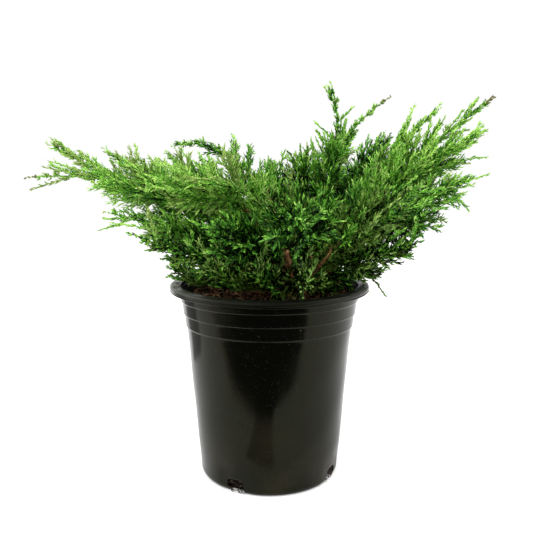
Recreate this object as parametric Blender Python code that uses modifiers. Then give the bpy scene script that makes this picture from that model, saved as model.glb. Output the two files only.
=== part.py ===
# Potted youngstown juniper: a low, spreading conifer in a two-gallon nursery pot.
# Metres, +Z up. The origin is the centre of the pot's flat underside, and -Y is the front.

import math
import random

import bmesh
import bpy
import numpy as np
from mathutils import Matrix, Vector
from mathutils.bvhtree import BVHTree

# Pot
POT_HEIGHT = 0.220
RIM_RADIUS = 0.115
LIP_WIDTH = 0.016
LIP_RISE = 0.0052
LIP_SKIRT = 0.0025
BODY_FOOT_RADIUS = 0.0808
BODY_DRAFT = 0.0906
CORNER_RISE = 0.007
CORNER_INSET = 0.0058
STEP_HEIGHTS = (0.1765, 0.1910, 0.2055)
STEP_DEPTH = 0.0009
STEP_CHAMFER = 0.0008
WALL = 0.0023
FLOOR = 0.0030
POT_STEPS = 40
DRAIN_ANGLES = (62, 152, 242, 332)
DRAIN_WIDTH = 0.018
DRAIN_TOP = 0.0125
DRAIN_DEPTH = 0.022
DRAIN_ROUNDING = 0.003

# Soil and the gap that touching pieces keep
GAP = 0.0003
SOIL_TOP = 0.204

# Trunk, from its flat cut on the soil to the fork where the last boughs leave
TRUNK_FOOT = (0.030, -0.004)
TRUNK_HEIGHT = 0.056
TRUNK_FLARE_RADIUS = 0.0125
TRUNK_RADIUS = 0.0090
TRUNK_TIP_RADIUS = 0.0062
TRUNK_LEAN = (0.003, -0.002)
TRUNK_RINGS = (0.0, 0.004, 0.010, 0.020, 0.036, TRUNK_HEIGHT)

# Boughs and the stems of foliage that carry on from them
BOUGH_RADIUS = 0.0029
STEM_RADIUS = 0.0021
STEM_TIP_RADIUS = 0.0007
STEM_END = 0.96
FOOT_SUNK = 0.0020
BOUGH_SHARE = 0.20
LEAFLESS_SHARE = 0.10
BOUGH_POINTS = 4
STEM_POINTS = 5
PATH_POINTS = 33

# Sprays: the toothed blades that stand for side shoots and their branchlets
SPRAY_SPACING = 0.0113
SPRAY_PLACES = (0.0, 0.30, 0.75, 1.0)
SPRAY_LENGTHS = (0.070, 0.090, 0.054, 0.026)
SPRAY_LEANS = (54, 44, 30, 20)
SPRAY_HALF_WIDTH = 0.27
SPRAY_HALF_THICKNESS = 0.020
SPRAY_LIFT = 0.42
SPRAY_TWIST = 0.25
SPRAY_TRIES = tuple(
    (size, lean_share, turn)
    for size, lean_share in ((1.0, 1.0), (1.0, 0.7), (0.8, 0.9), (0.8, 0.5), (0.6, 0.7), (0.5, 0.4))
    for turn in (0.0, 0.8, -0.8)
)
TERMINAL_SPRAY = 0.034
SPACE_MARGIN = 0.0009
POT_CLEARANCE = 0.0035
GOLDEN_ANGLE = math.radians(137.508)

# Each limb's tip, by its azimuth (from +X towards +Y) and reach from the pot's axis and its height,
# with the angle the limb rises at, the angle its tip points at, how far its foot is swung aside,
# and the level that it leaves the trunk at. A main limb is a bough first and a mass of foliage
# after it. A low one is foliage from the trunk on.
MAIN_LIMBS = (
    dict(azimuth=182, reach=0.279, height=0.344, rise=30, nod=-6, swing=0, level=5),
    dict(azimuth=174, reach=0.268, height=0.388, rise=38, nod=28, swing=0, level=0.25),
    dict(azimuth=164, reach=0.214, height=0.385, rise=42, nod=42, swing=0, level=3),
    dict(azimuth=196, reach=0.186, height=0.308, rise=28, nod=14, swing=0, level=1.75),
    dict(azimuth=218, reach=0.162, height=0.330, rise=60, nod=-16, swing=0, level=3.75),
    dict(azimuth=140, reach=0.182, height=0.384, rise=46, nod=38, swing=0, level=4.5),
    dict(azimuth=143, reach=0.160, height=0.386, rise=68, nod=-14, swing=-8, level=5.25, spread=0.6),
    dict(azimuth=111, reach=0.140, height=0.372, rise=58, nod=40, swing=0, level=2, spread=0.8),
    dict(azimuth=90, reach=0.165, height=0.368, rise=52, nod=34, swing=0, level=-0.5),
    dict(azimuth=358, reach=0.068, height=0.452, rise=72, nod=110, swing=0, level=5.25, spread=0.6),
    dict(azimuth=12, reach=0.148, height=0.441, rise=74, nod=32, swing=30, level=4.5, spread=0.55),
    dict(azimuth=37, reach=0.202, height=0.404, rise=50, nod=42, swing=0, level=-0.5),
    dict(azimuth=16, reach=0.222, height=0.433, rise=54, nod=36, swing=0, level=0.5),
    dict(azimuth=0, reach=0.257, height=0.436, rise=52, nod=36, swing=0, level=3),
    dict(azimuth=353, reach=0.238, height=0.395, rise=44, nod=24, swing=0, level=1.5),
    dict(azimuth=346, reach=0.238, height=0.354, rise=40, nod=22, swing=0, level=0),
    dict(azimuth=339, reach=0.205, height=0.308, rise=28, nod=4, swing=0, level=4),
    dict(azimuth=315, reach=0.200, height=0.334, rise=46, nod=22, swing=0, level=0.5),
    dict(azimuth=277, reach=0.190, height=0.306, rise=46, nod=10, swing=0, level=2.75),
    dict(azimuth=250, reach=0.160, height=0.296, rise=42, nod=18, swing=0, level=1.25),
    dict(azimuth=62, reach=0.200, height=0.345, rise=42, nod=18, swing=0, level=1.75),
    dict(azimuth=122, reach=0.205, height=0.345, rise=40, nod=14, swing=0, level=0.25),
)
LOW_LIMBS = (
    dict(azimuth=28, reach=0.048, height=0.378, rise=78, nod=84, swing=0, level=3.5, spread=1.4),
    dict(azimuth=212, reach=0.160, height=0.282, rise=26, nod=20, swing=0, level=0.75),
    dict(azimuth=329, reach=0.172, height=0.272, rise=24, nod=14, swing=0, level=2.25),
    dict(azimuth=183, reach=0.116, height=0.252, rise=12, nod=46, swing=0, level=-0.5),
    dict(azimuth=228, reach=0.098, height=0.260, rise=16, nod=56, swing=0, level=0),
    dict(azimuth=262, reach=0.104, height=0.256, rise=20, nod=36, swing=0, level=-0.5),
    dict(azimuth=286, reach=0.126, height=0.236, rise=30, nod=-20, swing=0, level=0),
    dict(azimuth=356, reach=0.142, height=0.236, rise=16, nod=-18, swing=14, level=-0.5),
    dict(azimuth=52, reach=0.118, height=0.270, rise=24, nod=34, swing=0, level=0.25),
    dict(azimuth=125, reach=0.112, height=0.272, rise=20, nod=44, swing=0, level=-0.5),
)
LEVEL_FOOT = 0.0075
LEVEL_RISE = 0.0088


def clear_scene():
    for thing in list(bpy.data.objects):
        bpy.data.objects.remove(thing, do_unlink=True)


def new_collection(name):
    made = bpy.data.collections.new(name)
    bpy.context.scene.collection.children.link(made)
    return made


def make_material(name, colour, roughness):
    material = bpy.data.materials.new(name)
    material.use_nodes = True
    shader = material.node_tree.nodes["Principled BSDF"]
    shader.inputs["Base Color"].default_value = (*colour, 1.0)
    shader.inputs["Roughness"].default_value = roughness
    shader.inputs["Metallic"].default_value = 0.0
    material.diffuse_color = (*colour, 1.0)
    return material


def place(name, data, collection, material):
    thing = bpy.data.objects.new(name, data)
    collection.objects.link(thing)
    data.materials.append(material)
    return thing


def unit(azimuth, elevation):
    """The direction at these angles, in degrees."""
    a, e = math.radians(azimuth), math.radians(elevation)
    return Vector((math.cos(a) * math.cos(e), math.sin(a) * math.cos(e), math.sin(e)))


# The pot

def wall_radius(height):
    """The outer radius of the pot's body: a straight draft, a step wider above each ring."""
    steps = sum(height > ring for ring in STEP_HEIGHTS)
    return BODY_FOOT_RADIUS + BODY_DRAFT * (height - CORNER_RISE) + STEP_DEPTH * steps


def inner_radius(height):
    """The inner radius of the pot: the same draft as the body, with no steps."""
    return BODY_FOOT_RADIUS + BODY_DRAFT * (height - CORNER_RISE) - WALL


def lip_points():
    """Half an ellipse over the rolled lip, from its inner edge to its outer one."""
    lip_base = POT_HEIGHT - LIP_RISE
    middle = RIM_RADIUS - LIP_WIDTH / 2
    turns = [math.pi * k / 5 for k in range(6)]
    arc = [(middle - LIP_WIDTH / 2 * math.cos(t), lip_base + LIP_RISE * math.sin(t)) for t in turns]
    skirt = lip_base - LIP_SKIRT
    return arc + [(RIM_RADIUS - 0.0008, skirt), (wall_radius(skirt), skirt)]


def step_points():
    """Down the collar: at each ring the wall goes in by one step, over a short chamfer."""
    points = []
    for ring in reversed(STEP_HEIGHTS):
        points.append((wall_radius(ring + 1e-6), ring))
        points.append((wall_radius(ring - STEP_CHAMFER), ring - STEP_CHAMFER))
    return points


def corner_points():
    """A quarter of an ellipse, from the foot of the straight wall to the flat underside."""
    foot = BODY_FOOT_RADIUS - CORNER_INSET
    turns = [math.pi / 2 * k / 3 for k in range(4)]
    return [
        (foot + CORNER_INSET * math.cos(t), CORNER_RISE * (1 - math.sin(t))) for t in turns
    ]


def turned(name, profile, collection, material):
    """A solid of revolution about Z. The profile runs from the axis up, over and down its outer side."""
    mesh = bpy.data.meshes.new(name)
    edges = [(k, k + 1) for k in range(len(profile) - 1)]
    mesh.from_pydata([(r, 0.0, z) for r, z in profile], edges, [])
    thing = place(name, mesh, collection, material)
    screw = thing.modifiers.new("turn", "SCREW")
    screw.axis = "Z"
    screw.steps = POT_STEPS
    screw.render_steps = POT_STEPS
    screw.use_merge_vertices = True
    screw.merge_threshold = 0.00001
    screw.use_smooth_shade = True
    return thing


def make_pot(collection, cutters, material):
    inside = [(0.0, FLOOR), (inner_radius(FLOOR) - CORNER_INSET, FLOOR)]
    inside += [(inner_radius(CORNER_RISE), CORNER_RISE + WALL), (RIM_RADIUS - LIP_WIDTH, 0.2105)]
    profile = inside + lip_points() + step_points() + corner_points() + [(0.0, 0.0)]
    pot = turned("pot", profile, collection, material)
    block = bmesh.new()
    bmesh.ops.create_cube(block, size=1.0)
    bmesh.ops.scale(block, vec=(DRAIN_DEPTH, DRAIN_WIDTH, 2 * DRAIN_TOP), verts=block.verts)
    block_mesh = bpy.data.meshes.new("drain_block")
    block.to_mesh(block_mesh)
    block.free()
    for angle in DRAIN_ANGLES:
        cutter = bpy.data.objects.new(f"drain_cutter_{angle}", block_mesh)
        cutters.objects.link(cutter)
        cutter.location = unit(angle, 0) * BODY_FOOT_RADIUS
        cutter.rotation_euler = (0, 0, math.radians(angle))
        rounding = cutter.modifiers.new("rounding", "BEVEL")
        rounding.width = DRAIN_ROUNDING
        rounding.segments = 2
        cutter.hide_render = True
        cutter.display_type = "WIRE"
        cut = pot.modifiers.new(f"drain_{angle}", "BOOLEAN")
        cut.operation = "DIFFERENCE"
        cut.solver = "EXACT"
        cut.object = cutter
    return pot


def make_soil(collection, material):
    """The root ball fills the pot to just under the lip."""
    floor = FLOOR + GAP
    profile = [
        (0.0, SOIL_TOP),
        (inner_radius(SOIL_TOP) - 0.0030, SOIL_TOP),
        (inner_radius(SOIL_TOP) - 0.0012, SOIL_TOP - 0.002),
        (inner_radius(CORNER_RISE) - 0.0008, CORNER_RISE + WALL),
        (inner_radius(FLOOR) - CORNER_INSET - 0.0008, floor),
        (0.0, floor),
    ]
    return turned("soil", profile, collection, material)


# Limbs: paths shared by the boughs and by the foliage that grows on from them

def trunk_centre(height):
    """The trunk's axis at a height above the soil: it leans a little more the higher it goes."""
    share = (height / TRUNK_HEIGHT) ** 2
    x = TRUNK_FOOT[0] + TRUNK_LEAN[0] * share
    y = TRUNK_FOOT[1] + TRUNK_LEAN[1] * share
    return Vector((x, y, SOIL_TOP + GAP + height))


def trunk_radius(height):
    """A flare at the foot that dies away, over a straight taper."""
    share = height / TRUNK_HEIGHT
    taper = TRUNK_RADIUS + (TRUNK_TIP_RADIUS - TRUNK_RADIUS) * share
    return taper + (TRUNK_FLARE_RADIUS - TRUNK_RADIUS) * math.exp(-9 * share)


def limb_path(limb):
    """A cubic curve from just under the trunk's bark to the tip, as an array of points."""
    height = LEVEL_FOOT + LEVEL_RISE * limb["level"]
    tip = unit(limb["azimuth"], 0) * limb["reach"]
    tip.z = limb["height"]
    centre = trunk_centre(height)
    towards = math.degrees(math.atan2(tip.y - centre.y, tip.x - centre.x))
    foot_azimuth = towards + limb["swing"]
    offset = trunk_radius(height) + BOUGH_RADIUS * math.sin(math.radians(limb["rise"])) - FOOT_SUNK
    foot = centre + unit(foot_azimuth, 0) * offset
    chord = (tip - foot).length
    first = foot + unit(foot_azimuth, limb["rise"]) * chord * 0.40
    second = tip - unit(towards - limb["swing"] / 2, limb["nod"]) * chord * 0.36
    share = np.linspace(0, 1, PATH_POINTS)[:, None]
    corners = [np.array(p) for p in (foot, first, second, tip)]
    weights = [(1 - share) ** 3, 3 * share * (1 - share) ** 2, 3 * share**2 * (1 - share), share**3]
    return sum(w * c for w, c in zip(weights, corners))


def point_at(path, share):
    """The point of a path at a share of its points, and its direction there."""
    place_along = share * (len(path) - 1)
    k = min(int(place_along), len(path) - 2)
    here = path[k] + (path[k + 1] - path[k]) * (place_along - k)
    ahead = path[min(k + 2, len(path) - 1)] - path[max(k - 1, 0)]
    return Vector(here), Vector(ahead).normalized()


def path_length(path, start, end):
    """The length of a path between two shares of it."""
    points = [point_at(path, start + (end - start) * k / 12)[0] for k in range(13)]
    return sum((b - a).length for a, b in zip(points, points[1:]))


def tube(name, points, radii, collection, material, bevel_object=None, resolution=1):
    """A tapering tube through the points, on a POLY spline, with filled ends."""
    curve = bpy.data.curves.new(name, "CURVE")
    curve.dimensions = "3D"
    curve.twist_mode = "MINIMUM"
    curve.use_fill_caps = True
    if bevel_object is None:
        curve.bevel_depth = 1.0
        curve.bevel_resolution = resolution
    else:
        curve.bevel_mode = "OBJECT"
        curve.bevel_object = bevel_object
    spline = curve.splines.new("POLY")
    spline.points.add(len(points) - 1)
    for spot, point, radius in zip(spline.points, points, radii):
        spot.co = (*point, 1.0)
        spot.radius = radius
    return place(name, curve, collection, material)


def make_trunk(collection, material):
    points = [trunk_centre(h) for h in TRUNK_RINGS]
    radii = [trunk_radius(h) for h in TRUNK_RINGS]
    return tube("trunk", points, radii, collection, material, resolution=4)


def make_trunk_cutter(collection, material):
    """The trunk with the gap added all round: it shapes the foot of each limb to the bark."""
    points = [trunk_centre(h) for h in TRUNK_RINGS]
    points[0].z -= GAP
    points[-1].z += GAP
    radii = [trunk_radius(h) + GAP for h in TRUNK_RINGS]
    cutter = as_mesh(tube("trunk_cutter", points, radii, collection, material, resolution=4))
    cutter.hide_render = True
    cutter.display_type = "WIRE"
    return cutter


def seat_on_trunk(limb, cutter):
    """Cuts a limb's foot to the trunk, one gap clear of it."""
    seat = limb.modifiers.new("seat", "BOOLEAN")
    seat.operation = "DIFFERENCE"
    seat.solver = "EXACT"
    seat.object = cutter


def make_bough(name, path, cutter, collection, material):
    """The bare part of a limb, from the trunk to where its foliage starts."""
    shares = [BOUGH_SHARE * k / (BOUGH_POINTS - 1) for k in range(BOUGH_POINTS)]
    points = [point_at(path, s)[0] for s in shares]
    taper = (STEM_RADIUS - BOUGH_RADIUS) / BOUGH_SHARE
    radii = [BOUGH_RADIUS + taper * s for s in shares]
    bough = as_mesh(tube(name, points, radii, collection, material))
    seat_on_trunk(bough, cutter)
    return bough


# Foliage

def face_out(made):
    """Turns a closed mesh's faces outwards, by the sign of its volume."""
    bmesh.ops.recalc_face_normals(made, faces=made.faces)
    if made.calc_volume(signed=True) < 0:
        bmesh.ops.reverse_faces(made, faces=made.faces)


def as_mesh(thing):
    """A curve object as a mesh object of the same name, with the seams of its caps welded."""
    bpy.context.view_layer.update()
    graph = bpy.context.evaluated_depsgraph_get()
    mesh = bpy.data.meshes.new_from_object(thing.evaluated_get(graph))
    made = bmesh.new()
    made.from_mesh(mesh)
    bmesh.ops.remove_doubles(made, verts=made.verts, dist=0.00001)
    face_out(made)
    made.to_mesh(mesh)
    made.free()
    name, collection = thing.name, thing.users_collection[0]
    matrix = thing.matrix_world.copy()
    bpy.data.objects.remove(thing, do_unlink=True)
    joined = bpy.data.objects.new("meshed", mesh)
    joined.name = name
    joined.matrix_world = matrix
    collection.objects.link(joined)
    return joined


def spray_outline():
    """The rim of a spray, root at 0 and tip at 1, as (along, across): a tip and two teeth a side."""
    width = SPRAY_HALF_WIDTH
    side = [(0.74, 0.22 * width), (0.80, 0.80 * width), (0.56, 0.36 * width), (0.50, width)]
    other = [(x, -y) for x, y in reversed(side)]
    return [(1.0, 0.0)] + side + [(0.0, 0.0)] + other


def spray_points(root, along, normal, length):
    """The rim and the two crests of a spray's blade, in place."""
    across = normal.cross(along).normalized()
    face = along.cross(across).normalized()
    rim = [root + along * (x * length) + across * (y * length) for x, y in spray_outline()]
    middle = root + along * (0.45 * length)
    crest = face * (SPRAY_HALF_THICKNESS * length)
    return rim, middle + crest, middle - crest


def blade_tree(rim, top, bottom):
    """A blade as a search tree, for seeing whether it crosses another."""
    count = len(rim)
    faces = [(k, (k + 1) % count, count + side) for k in range(count) for side in (0, 1)]
    return BVHTree.FromPolygons([*rim, top, bottom], faces)


def spray_mesh(name, rim, top, bottom):
    """A double cone whose rim is pulled out into the spray's teeth."""
    made = bmesh.new()
    bmesh.ops.create_uvsphere(made, u_segments=len(rim), v_segments=2, radius=1.0)
    belt = [v for v in made.verts if abs(v.co.z) < 0.5]
    belt.sort(key=lambda v: math.atan2(v.co.y, v.co.x) % (2 * math.pi - 1e-4))
    poles = [v for v in made.verts if abs(v.co.z) >= 0.5]
    for vertex, point in zip(belt, rim):
        vertex.co = point
    for vertex in poles:
        vertex.co = top if vertex.co.z > 0 else bottom
    face_out(made)
    mesh = bpy.data.meshes.new(name)
    made.to_mesh(mesh)
    made.free()
    return mesh


def shoots_of(path, stem, first, start, spread, seed):
    """Where side shoots leave a stem, by one seeded rule: (root, forward, sideways, lean, twist, length).

    The stem is a run of points at even shares of the path from first on. A root lies on its line.
    """
    draw = random.Random(seed)
    whole = path_length(path, 0.0, 1.0)

    def root_at(share):
        return point_at(stem, (share - first) / (STEM_END - first))[0]

    count = max(8, round(whole * (1 - start) / SPRAY_SPACING))
    roll = draw.uniform(0, 2 * math.pi)
    found = []
    for k in range(count):
        along = (k + 0.35) / count
        share = start + (STEM_END - start) * along
        root, forward = root_at(share), point_at(path, share)[1]
        roll += GOLDEN_ANGLE + draw.uniform(-0.35, 0.35)
        level = forward.cross(Vector((0, 0, 1))).normalized()
        above = level.cross(forward).normalized()
        sideways = level * math.cos(roll) + above * math.sin(roll)
        lean = math.radians(np.interp(along, SPRAY_PLACES, SPRAY_LEANS)) + draw.uniform(-0.12, 0.12)
        length = np.interp(along, SPRAY_PLACES, SPRAY_LENGTHS) * min(1.0, whole / 0.22) * spread
        length *= draw.uniform(0.85, 1.10)
        found.append((root, forward, sideways, lean, draw.uniform(-SPRAY_TWIST, SPRAY_TWIST), length))
    share = 1 - TERMINAL_SPRAY / whole
    root, forward = root_at(share), point_at(path, share)[1]
    level = forward.cross(Vector((0, 0, 1))).normalized()
    found.append((root, forward, level, 0.0, math.pi / 2, TERMINAL_SPRAY))
    return found


def spray_blade(shoot, size, lean_share, turn):
    """A shoot's blade at a share of its length and of its lean, and turned about itself."""
    root, forward, sideways, lean, twist, length = shoot
    out = forward * math.cos(lean * lean_share) + sideways * math.sin(lean * lean_share)
    out = (out + Vector((0, 0, SPRAY_LIFT * math.sin(lean * lean_share)))).normalized()
    face = Matrix.Rotation(twist + turn, 3, out) @ forward.cross(sideways).normalized()
    return spray_points(root, out, face, length * size)


def space_lines(paths):
    """Every limb's line as one array, for measuring how near a point is to each limb."""
    return np.array([path[::2] for path in paths])


def distances(points, lines):
    """The distance of each point from each limb's line, as an array of points by limbs."""
    start, end = lines[:, :-1], lines[:, 1:]
    span = end - start
    size = (span**2).sum(-1)
    away = points[:, None, None] - start[None]
    share = np.clip((away * span[None]).sum(-1) / size[None], 0, 1)
    gap = away - share[..., None] * span[None]
    return np.sqrt((gap**2).sum(-1)).min(-1)


def stays_in_space(points, number, lines):
    """Whether all of a blade's points are nearer to their own limb than to any other, and clear of the pot."""
    corners = np.array(points)
    samples = np.concatenate([corners, (corners + np.roll(corners, 1, axis=0)) / 2])
    gaps = distances(samples, lines)
    own = gaps[:, number]
    others = np.delete(gaps, number, axis=1).min(1)
    radius = np.hypot(samples[:, 0], samples[:, 1])
    over_soil = radius < RIM_RADIUS - LIP_WIDTH - POT_CLEARANCE
    over_rim = radius < RIM_RADIUS + POT_CLEARANCE
    floor = np.where(over_soil, SOIL_TOP, np.where(over_rim, POT_HEIGHT, 0.0)) + POT_CLEARANCE
    return bool((own + SPACE_MARGIN < others).all() and (samples[:, 2] > floor).all())


def clear_of_trunk(points):
    """Whether a blade stays outside the trunk."""
    for point in points:
        height = point.z - SOIL_TOP - GAP
        if height > TRUNK_HEIGHT + 0.001:
            continue
        height = max(height, 0.0)
        centre = trunk_centre(height)
        if math.hypot(point.x - centre.x, point.y - centre.y) < trunk_radius(height) + 0.0015:
            return False
    return True


def keep_one_body(thing):
    """Drops loose scraps and the shells of sealed hollows, and leaves the largest outer shell."""
    made = bmesh.new()
    made.from_mesh(thing.data)
    bmesh.ops.triangulate(made, faces=made.faces)
    left, groups = set(made.faces), []
    while left:
        group, edge_of = set(), [left.pop()]
        while edge_of:
            face = edge_of.pop()
            group.add(face)
            near = {f for e in face.edges for f in e.link_faces} & left
            left -= near
            edge_of += near
        groups.append(group)
    groups.sort(key=len)
    scraps = [face for group in groups[:-1] for face in group]
    bmesh.ops.delete(made, geom=scraps, context="FACES")
    made.to_mesh(thing.data)
    made.free()


def make_foliage(name, number, path, start, spread, lines, section, cutter, collection, material):
    """One mass: a stem, and sprays with their roots sunk in it, all joined in one union."""
    first = start + GAP / path_length(path, 0.0, 1.0) if start else 0.0
    steps = [k / (STEM_POINTS - 1) for k in range(STEM_POINTS)]
    points = [point_at(path, first + (STEM_END - first) * step)[0] for step in steps]
    radii = [STEM_RADIUS + (STEM_TIP_RADIUS - STEM_RADIUS) * step for step in steps]
    stem_line = np.array(points)
    stem = as_mesh(tube(name, points, radii, collection, material, section))
    if not start:
        seat_on_trunk(stem, cutter)
    sprays = new_collection(name + "_sprays")
    leafy = max(start, LEAFLESS_SHARE)
    placed = []
    for k, shoot in enumerate(shoots_of(path, stem_line, first, leafy, spread, number)):
        for size, lean_share, turn in SPRAY_TRIES:
            rim, top, bottom = spray_blade(shoot, size, lean_share, turn)
            blade = [*rim, top, bottom]
            if not (stays_in_space(blade, number, lines) and clear_of_trunk(blade)):
                continue
            tree = blade_tree(rim, top, bottom)
            if any(tree.overlap(other) for other in placed):
                continue
            mesh = spray_mesh(f"{name}_spray_{k}", rim, top, bottom)
            sprays.objects.link(bpy.data.objects.new(mesh.name, mesh))
            placed.append(tree)
            break
    union = stem.modifiers.new("union", "BOOLEAN")
    union.operation = "UNION"
    union.solver = "MANIFOLD"
    union.operand_type = "COLLECTION"
    union.collection = sprays
    bpy.context.view_layer.update()
    graph = bpy.context.evaluated_depsgraph_get()
    stem.data = bpy.data.meshes.new_from_object(stem.evaluated_get(graph))
    stem.modifiers.clear()
    for thing in list(sprays.objects):
        bpy.data.objects.remove(thing, do_unlink=True)
    bpy.data.collections.remove(sprays)
    keep_one_body(stem)
    stem.data.materials.clear()
    stem.data.materials.append(material)
    return stem


def make_section(collection):
    """The three-sided outline that the stems of foliage are drawn with."""
    curve = bpy.data.curves.new("stem_section", "CURVE")
    curve.dimensions = "2D"
    spline = curve.splines.new("POLY")
    spline.points.add(2)
    for k, spot in enumerate(spline.points):
        turn = 2 * math.pi * k / 3
        spot.co = (math.cos(turn), math.sin(turn), 0.0, 1.0)
    spline.use_cyclic_u = True
    section = bpy.data.objects.new("stem_section", curve)
    collection.objects.link(section)
    section.hide_render = True
    section.display_type = "WIRE"
    return section


def main():
    clear_scene()
    plant = new_collection("potted_juniper")
    helpers = new_collection("helpers")
    black = make_material("black_plastic", (0.012, 0.013, 0.012), 0.32)
    earth = make_material("bark_compost", (0.055, 0.032, 0.020), 0.95)
    bark = make_material("bark", (0.26, 0.135, 0.070), 0.85)
    green = make_material("foliage", (0.075, 0.215, 0.040), 0.55)
    make_pot(plant, helpers, black)
    make_soil(plant, earth)
    make_trunk(plant, bark)
    section = make_section(helpers)
    cutter = make_trunk_cutter(helpers, bark)
    limbs = MAIN_LIMBS + LOW_LIMBS
    paths = [limb_path(limb) for limb in limbs]
    lines = space_lines(paths)
    for number, path in enumerate(paths):
        label = f"{number + 1:02d}"
        start = BOUGH_SHARE if number < len(MAIN_LIMBS) else 0.0
        if start:
            make_bough("bough_" + label, path, cutter, plant, bark)
        spread = limbs[number].get("spread", 1.0)
        make_foliage(
            "foliage_" + label, number, path, start, spread, lines, section, cutter, plant, green
        )


main()
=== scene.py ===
import math
import random

import bpy
import numpy as np
from mathutils import Matrix, Vector

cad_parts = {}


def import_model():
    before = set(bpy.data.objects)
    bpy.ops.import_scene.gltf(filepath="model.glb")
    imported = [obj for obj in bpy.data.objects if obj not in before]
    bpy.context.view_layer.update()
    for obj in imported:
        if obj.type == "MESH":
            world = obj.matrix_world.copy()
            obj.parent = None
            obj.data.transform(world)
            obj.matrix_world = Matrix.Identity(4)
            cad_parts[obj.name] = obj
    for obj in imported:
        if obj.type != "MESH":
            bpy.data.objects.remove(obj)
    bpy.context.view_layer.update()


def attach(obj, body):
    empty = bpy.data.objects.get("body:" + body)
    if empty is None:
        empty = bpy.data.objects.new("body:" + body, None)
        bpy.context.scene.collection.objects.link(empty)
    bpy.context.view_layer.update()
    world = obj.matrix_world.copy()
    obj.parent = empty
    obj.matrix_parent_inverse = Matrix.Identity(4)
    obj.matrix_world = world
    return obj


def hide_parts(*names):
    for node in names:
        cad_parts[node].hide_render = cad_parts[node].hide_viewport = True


# Potted youngstown juniper, dressed: metres, +Z up, the front towards -Y
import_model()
body = "root"


# Camera, floor and studio light

cameraPlan = dict(place=(-0.0032, -0.70, 0.3273), pitch=6.93, sensor=36.0, focalShare=605 / 533)
# a light table: it glows a little, so that its shadows stay faint
floorPlan = dict(side=24.0, colour=(0.74, 0.74, 0.735), roughness=0.8, glow=0.32)
skyPlan = dict(colour=(1.0, 1.0, 1.0), strength=1.0)
lampPlans = dict(
    overhead=dict(place=(-0.12, -0.40, 1.75), aim=(0.0, 0.0, 0.25), width=1.8, depth=1.4, watts=48, glossy=False),
    leftBox=dict(place=(-1.6, -0.35, 0.75), aim=(0.0, 0.0, 0.25), width=0.9, depth=1.2, watts=11),
    rightBox=dict(place=(1.6, -0.25, 0.85), aim=(0.0, 0.0, 0.25), width=0.9, depth=1.2, watts=12),
)
# the dark room past the table's front edge, a dark sheet which only the glossy pot sees: a painted reflection of
# darkness in the pot's front
darkPlan = dict(
    edge=(
        (-0.80, -0.180), (-0.40, -0.212), (-0.27, -0.200), (-0.20, -0.202), (-0.15, -0.213), (-0.076, -0.232),
        (-0.062, -0.130), (0.010, -0.130), (0.016, -0.250), (0.045, -0.268), (0.09, -0.281), (0.147, -0.289),
        (0.21, -0.306), (0.31, -0.335), (0.42, -0.415), (1.3, -1.260),
    ),
    far=4.0, height=0.004, wall=3.2, ceilingEdge=0.75, colour=(0.004, 0.004, 0.004), pale=(0.60, 0.60, 0.58),
    fade=(-0.85, -0.30), tongue=(0.49, 0.43, 0.36), tongueFade=(-0.250, -0.215),
)

# a grey card on the floor, behind and to the left, which only the glossy pot sees: a painted reflection that darkens
# the pot's left side
cardPlan = dict(
    corners=((-0.342, 0.289, 0.005), (-0.445, 0.105, 0.005), (-2.5, 0.65, 0.005), (-1.8, 1.9, 0.005)),
    colour=(0.24, 0.24, 0.235),
)


def vector(values):
    return np.array(values, float)


def unitRows(rows):
    # each row divided by its own length
    rows = np.asarray(rows, float)
    return rows / np.maximum(np.linalg.norm(rows, axis=-1, keepdims=True), 1e-12)


def addObject(name, data):
    thing = bpy.data.objects.new(name, data)
    bpy.context.scene.collection.objects.link(thing)
    return thing


def meshOf(name, points, quads=None, triangles=None, smooth=True):
    # one mesh from whole arrays of corners, four-sided faces and three-sided faces
    quads = np.zeros((0, 4), np.int32) if quads is None else np.asarray(quads, np.int32)
    triangles = np.zeros((0, 3), np.int32) if triangles is None else np.asarray(triangles, np.int32)
    points = np.ascontiguousarray(points, np.float32).reshape(-1, 3)
    corners = np.concatenate([quads.ravel(), triangles.ravel()])
    starts = np.concatenate([np.arange(len(quads)) * 4, quads.size + np.arange(len(triangles)) * 3])
    mesh = bpy.data.meshes.new(name)
    mesh.vertices.add(len(points))
    mesh.vertices.foreach_set("co", points.ravel())
    mesh.loops.add(len(corners))
    mesh.loops.foreach_set("vertex_index", corners)
    mesh.polygons.add(len(starts))
    mesh.polygons.foreach_set("loop_start", starts.astype(np.int32))
    mesh.polygons.foreach_set("use_smooth", np.full(len(starts), smooth))
    mesh.update(calc_edges=True)
    return mesh


def addPiece(name, mesh, material, nodes=()):
    # a finished piece of the plant or its pot, standing for these CAD nodes
    piece = addObject(name, mesh)
    mesh.materials.append(material)
    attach(piece, body)
    if nodes:
        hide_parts(*nodes)
    return piece


def aimAt(thing, aim):
    away = Vector(aim) - thing.location
    thing.rotation_euler = away.to_track_quat("-Z", "Y").to_euler()


def makeCamera():
    data = bpy.data.cameras.new("camera")
    data.sensor_width = cameraPlan["sensor"]
    data.lens = cameraPlan["sensor"] * cameraPlan["focalShare"]
    camera = addObject("camera", data)
    camera.location = cameraPlan["place"]
    camera.rotation_euler = (math.radians(90 - cameraPlan["pitch"]), 0, 0)
    bpy.context.scene.camera = camera


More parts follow.
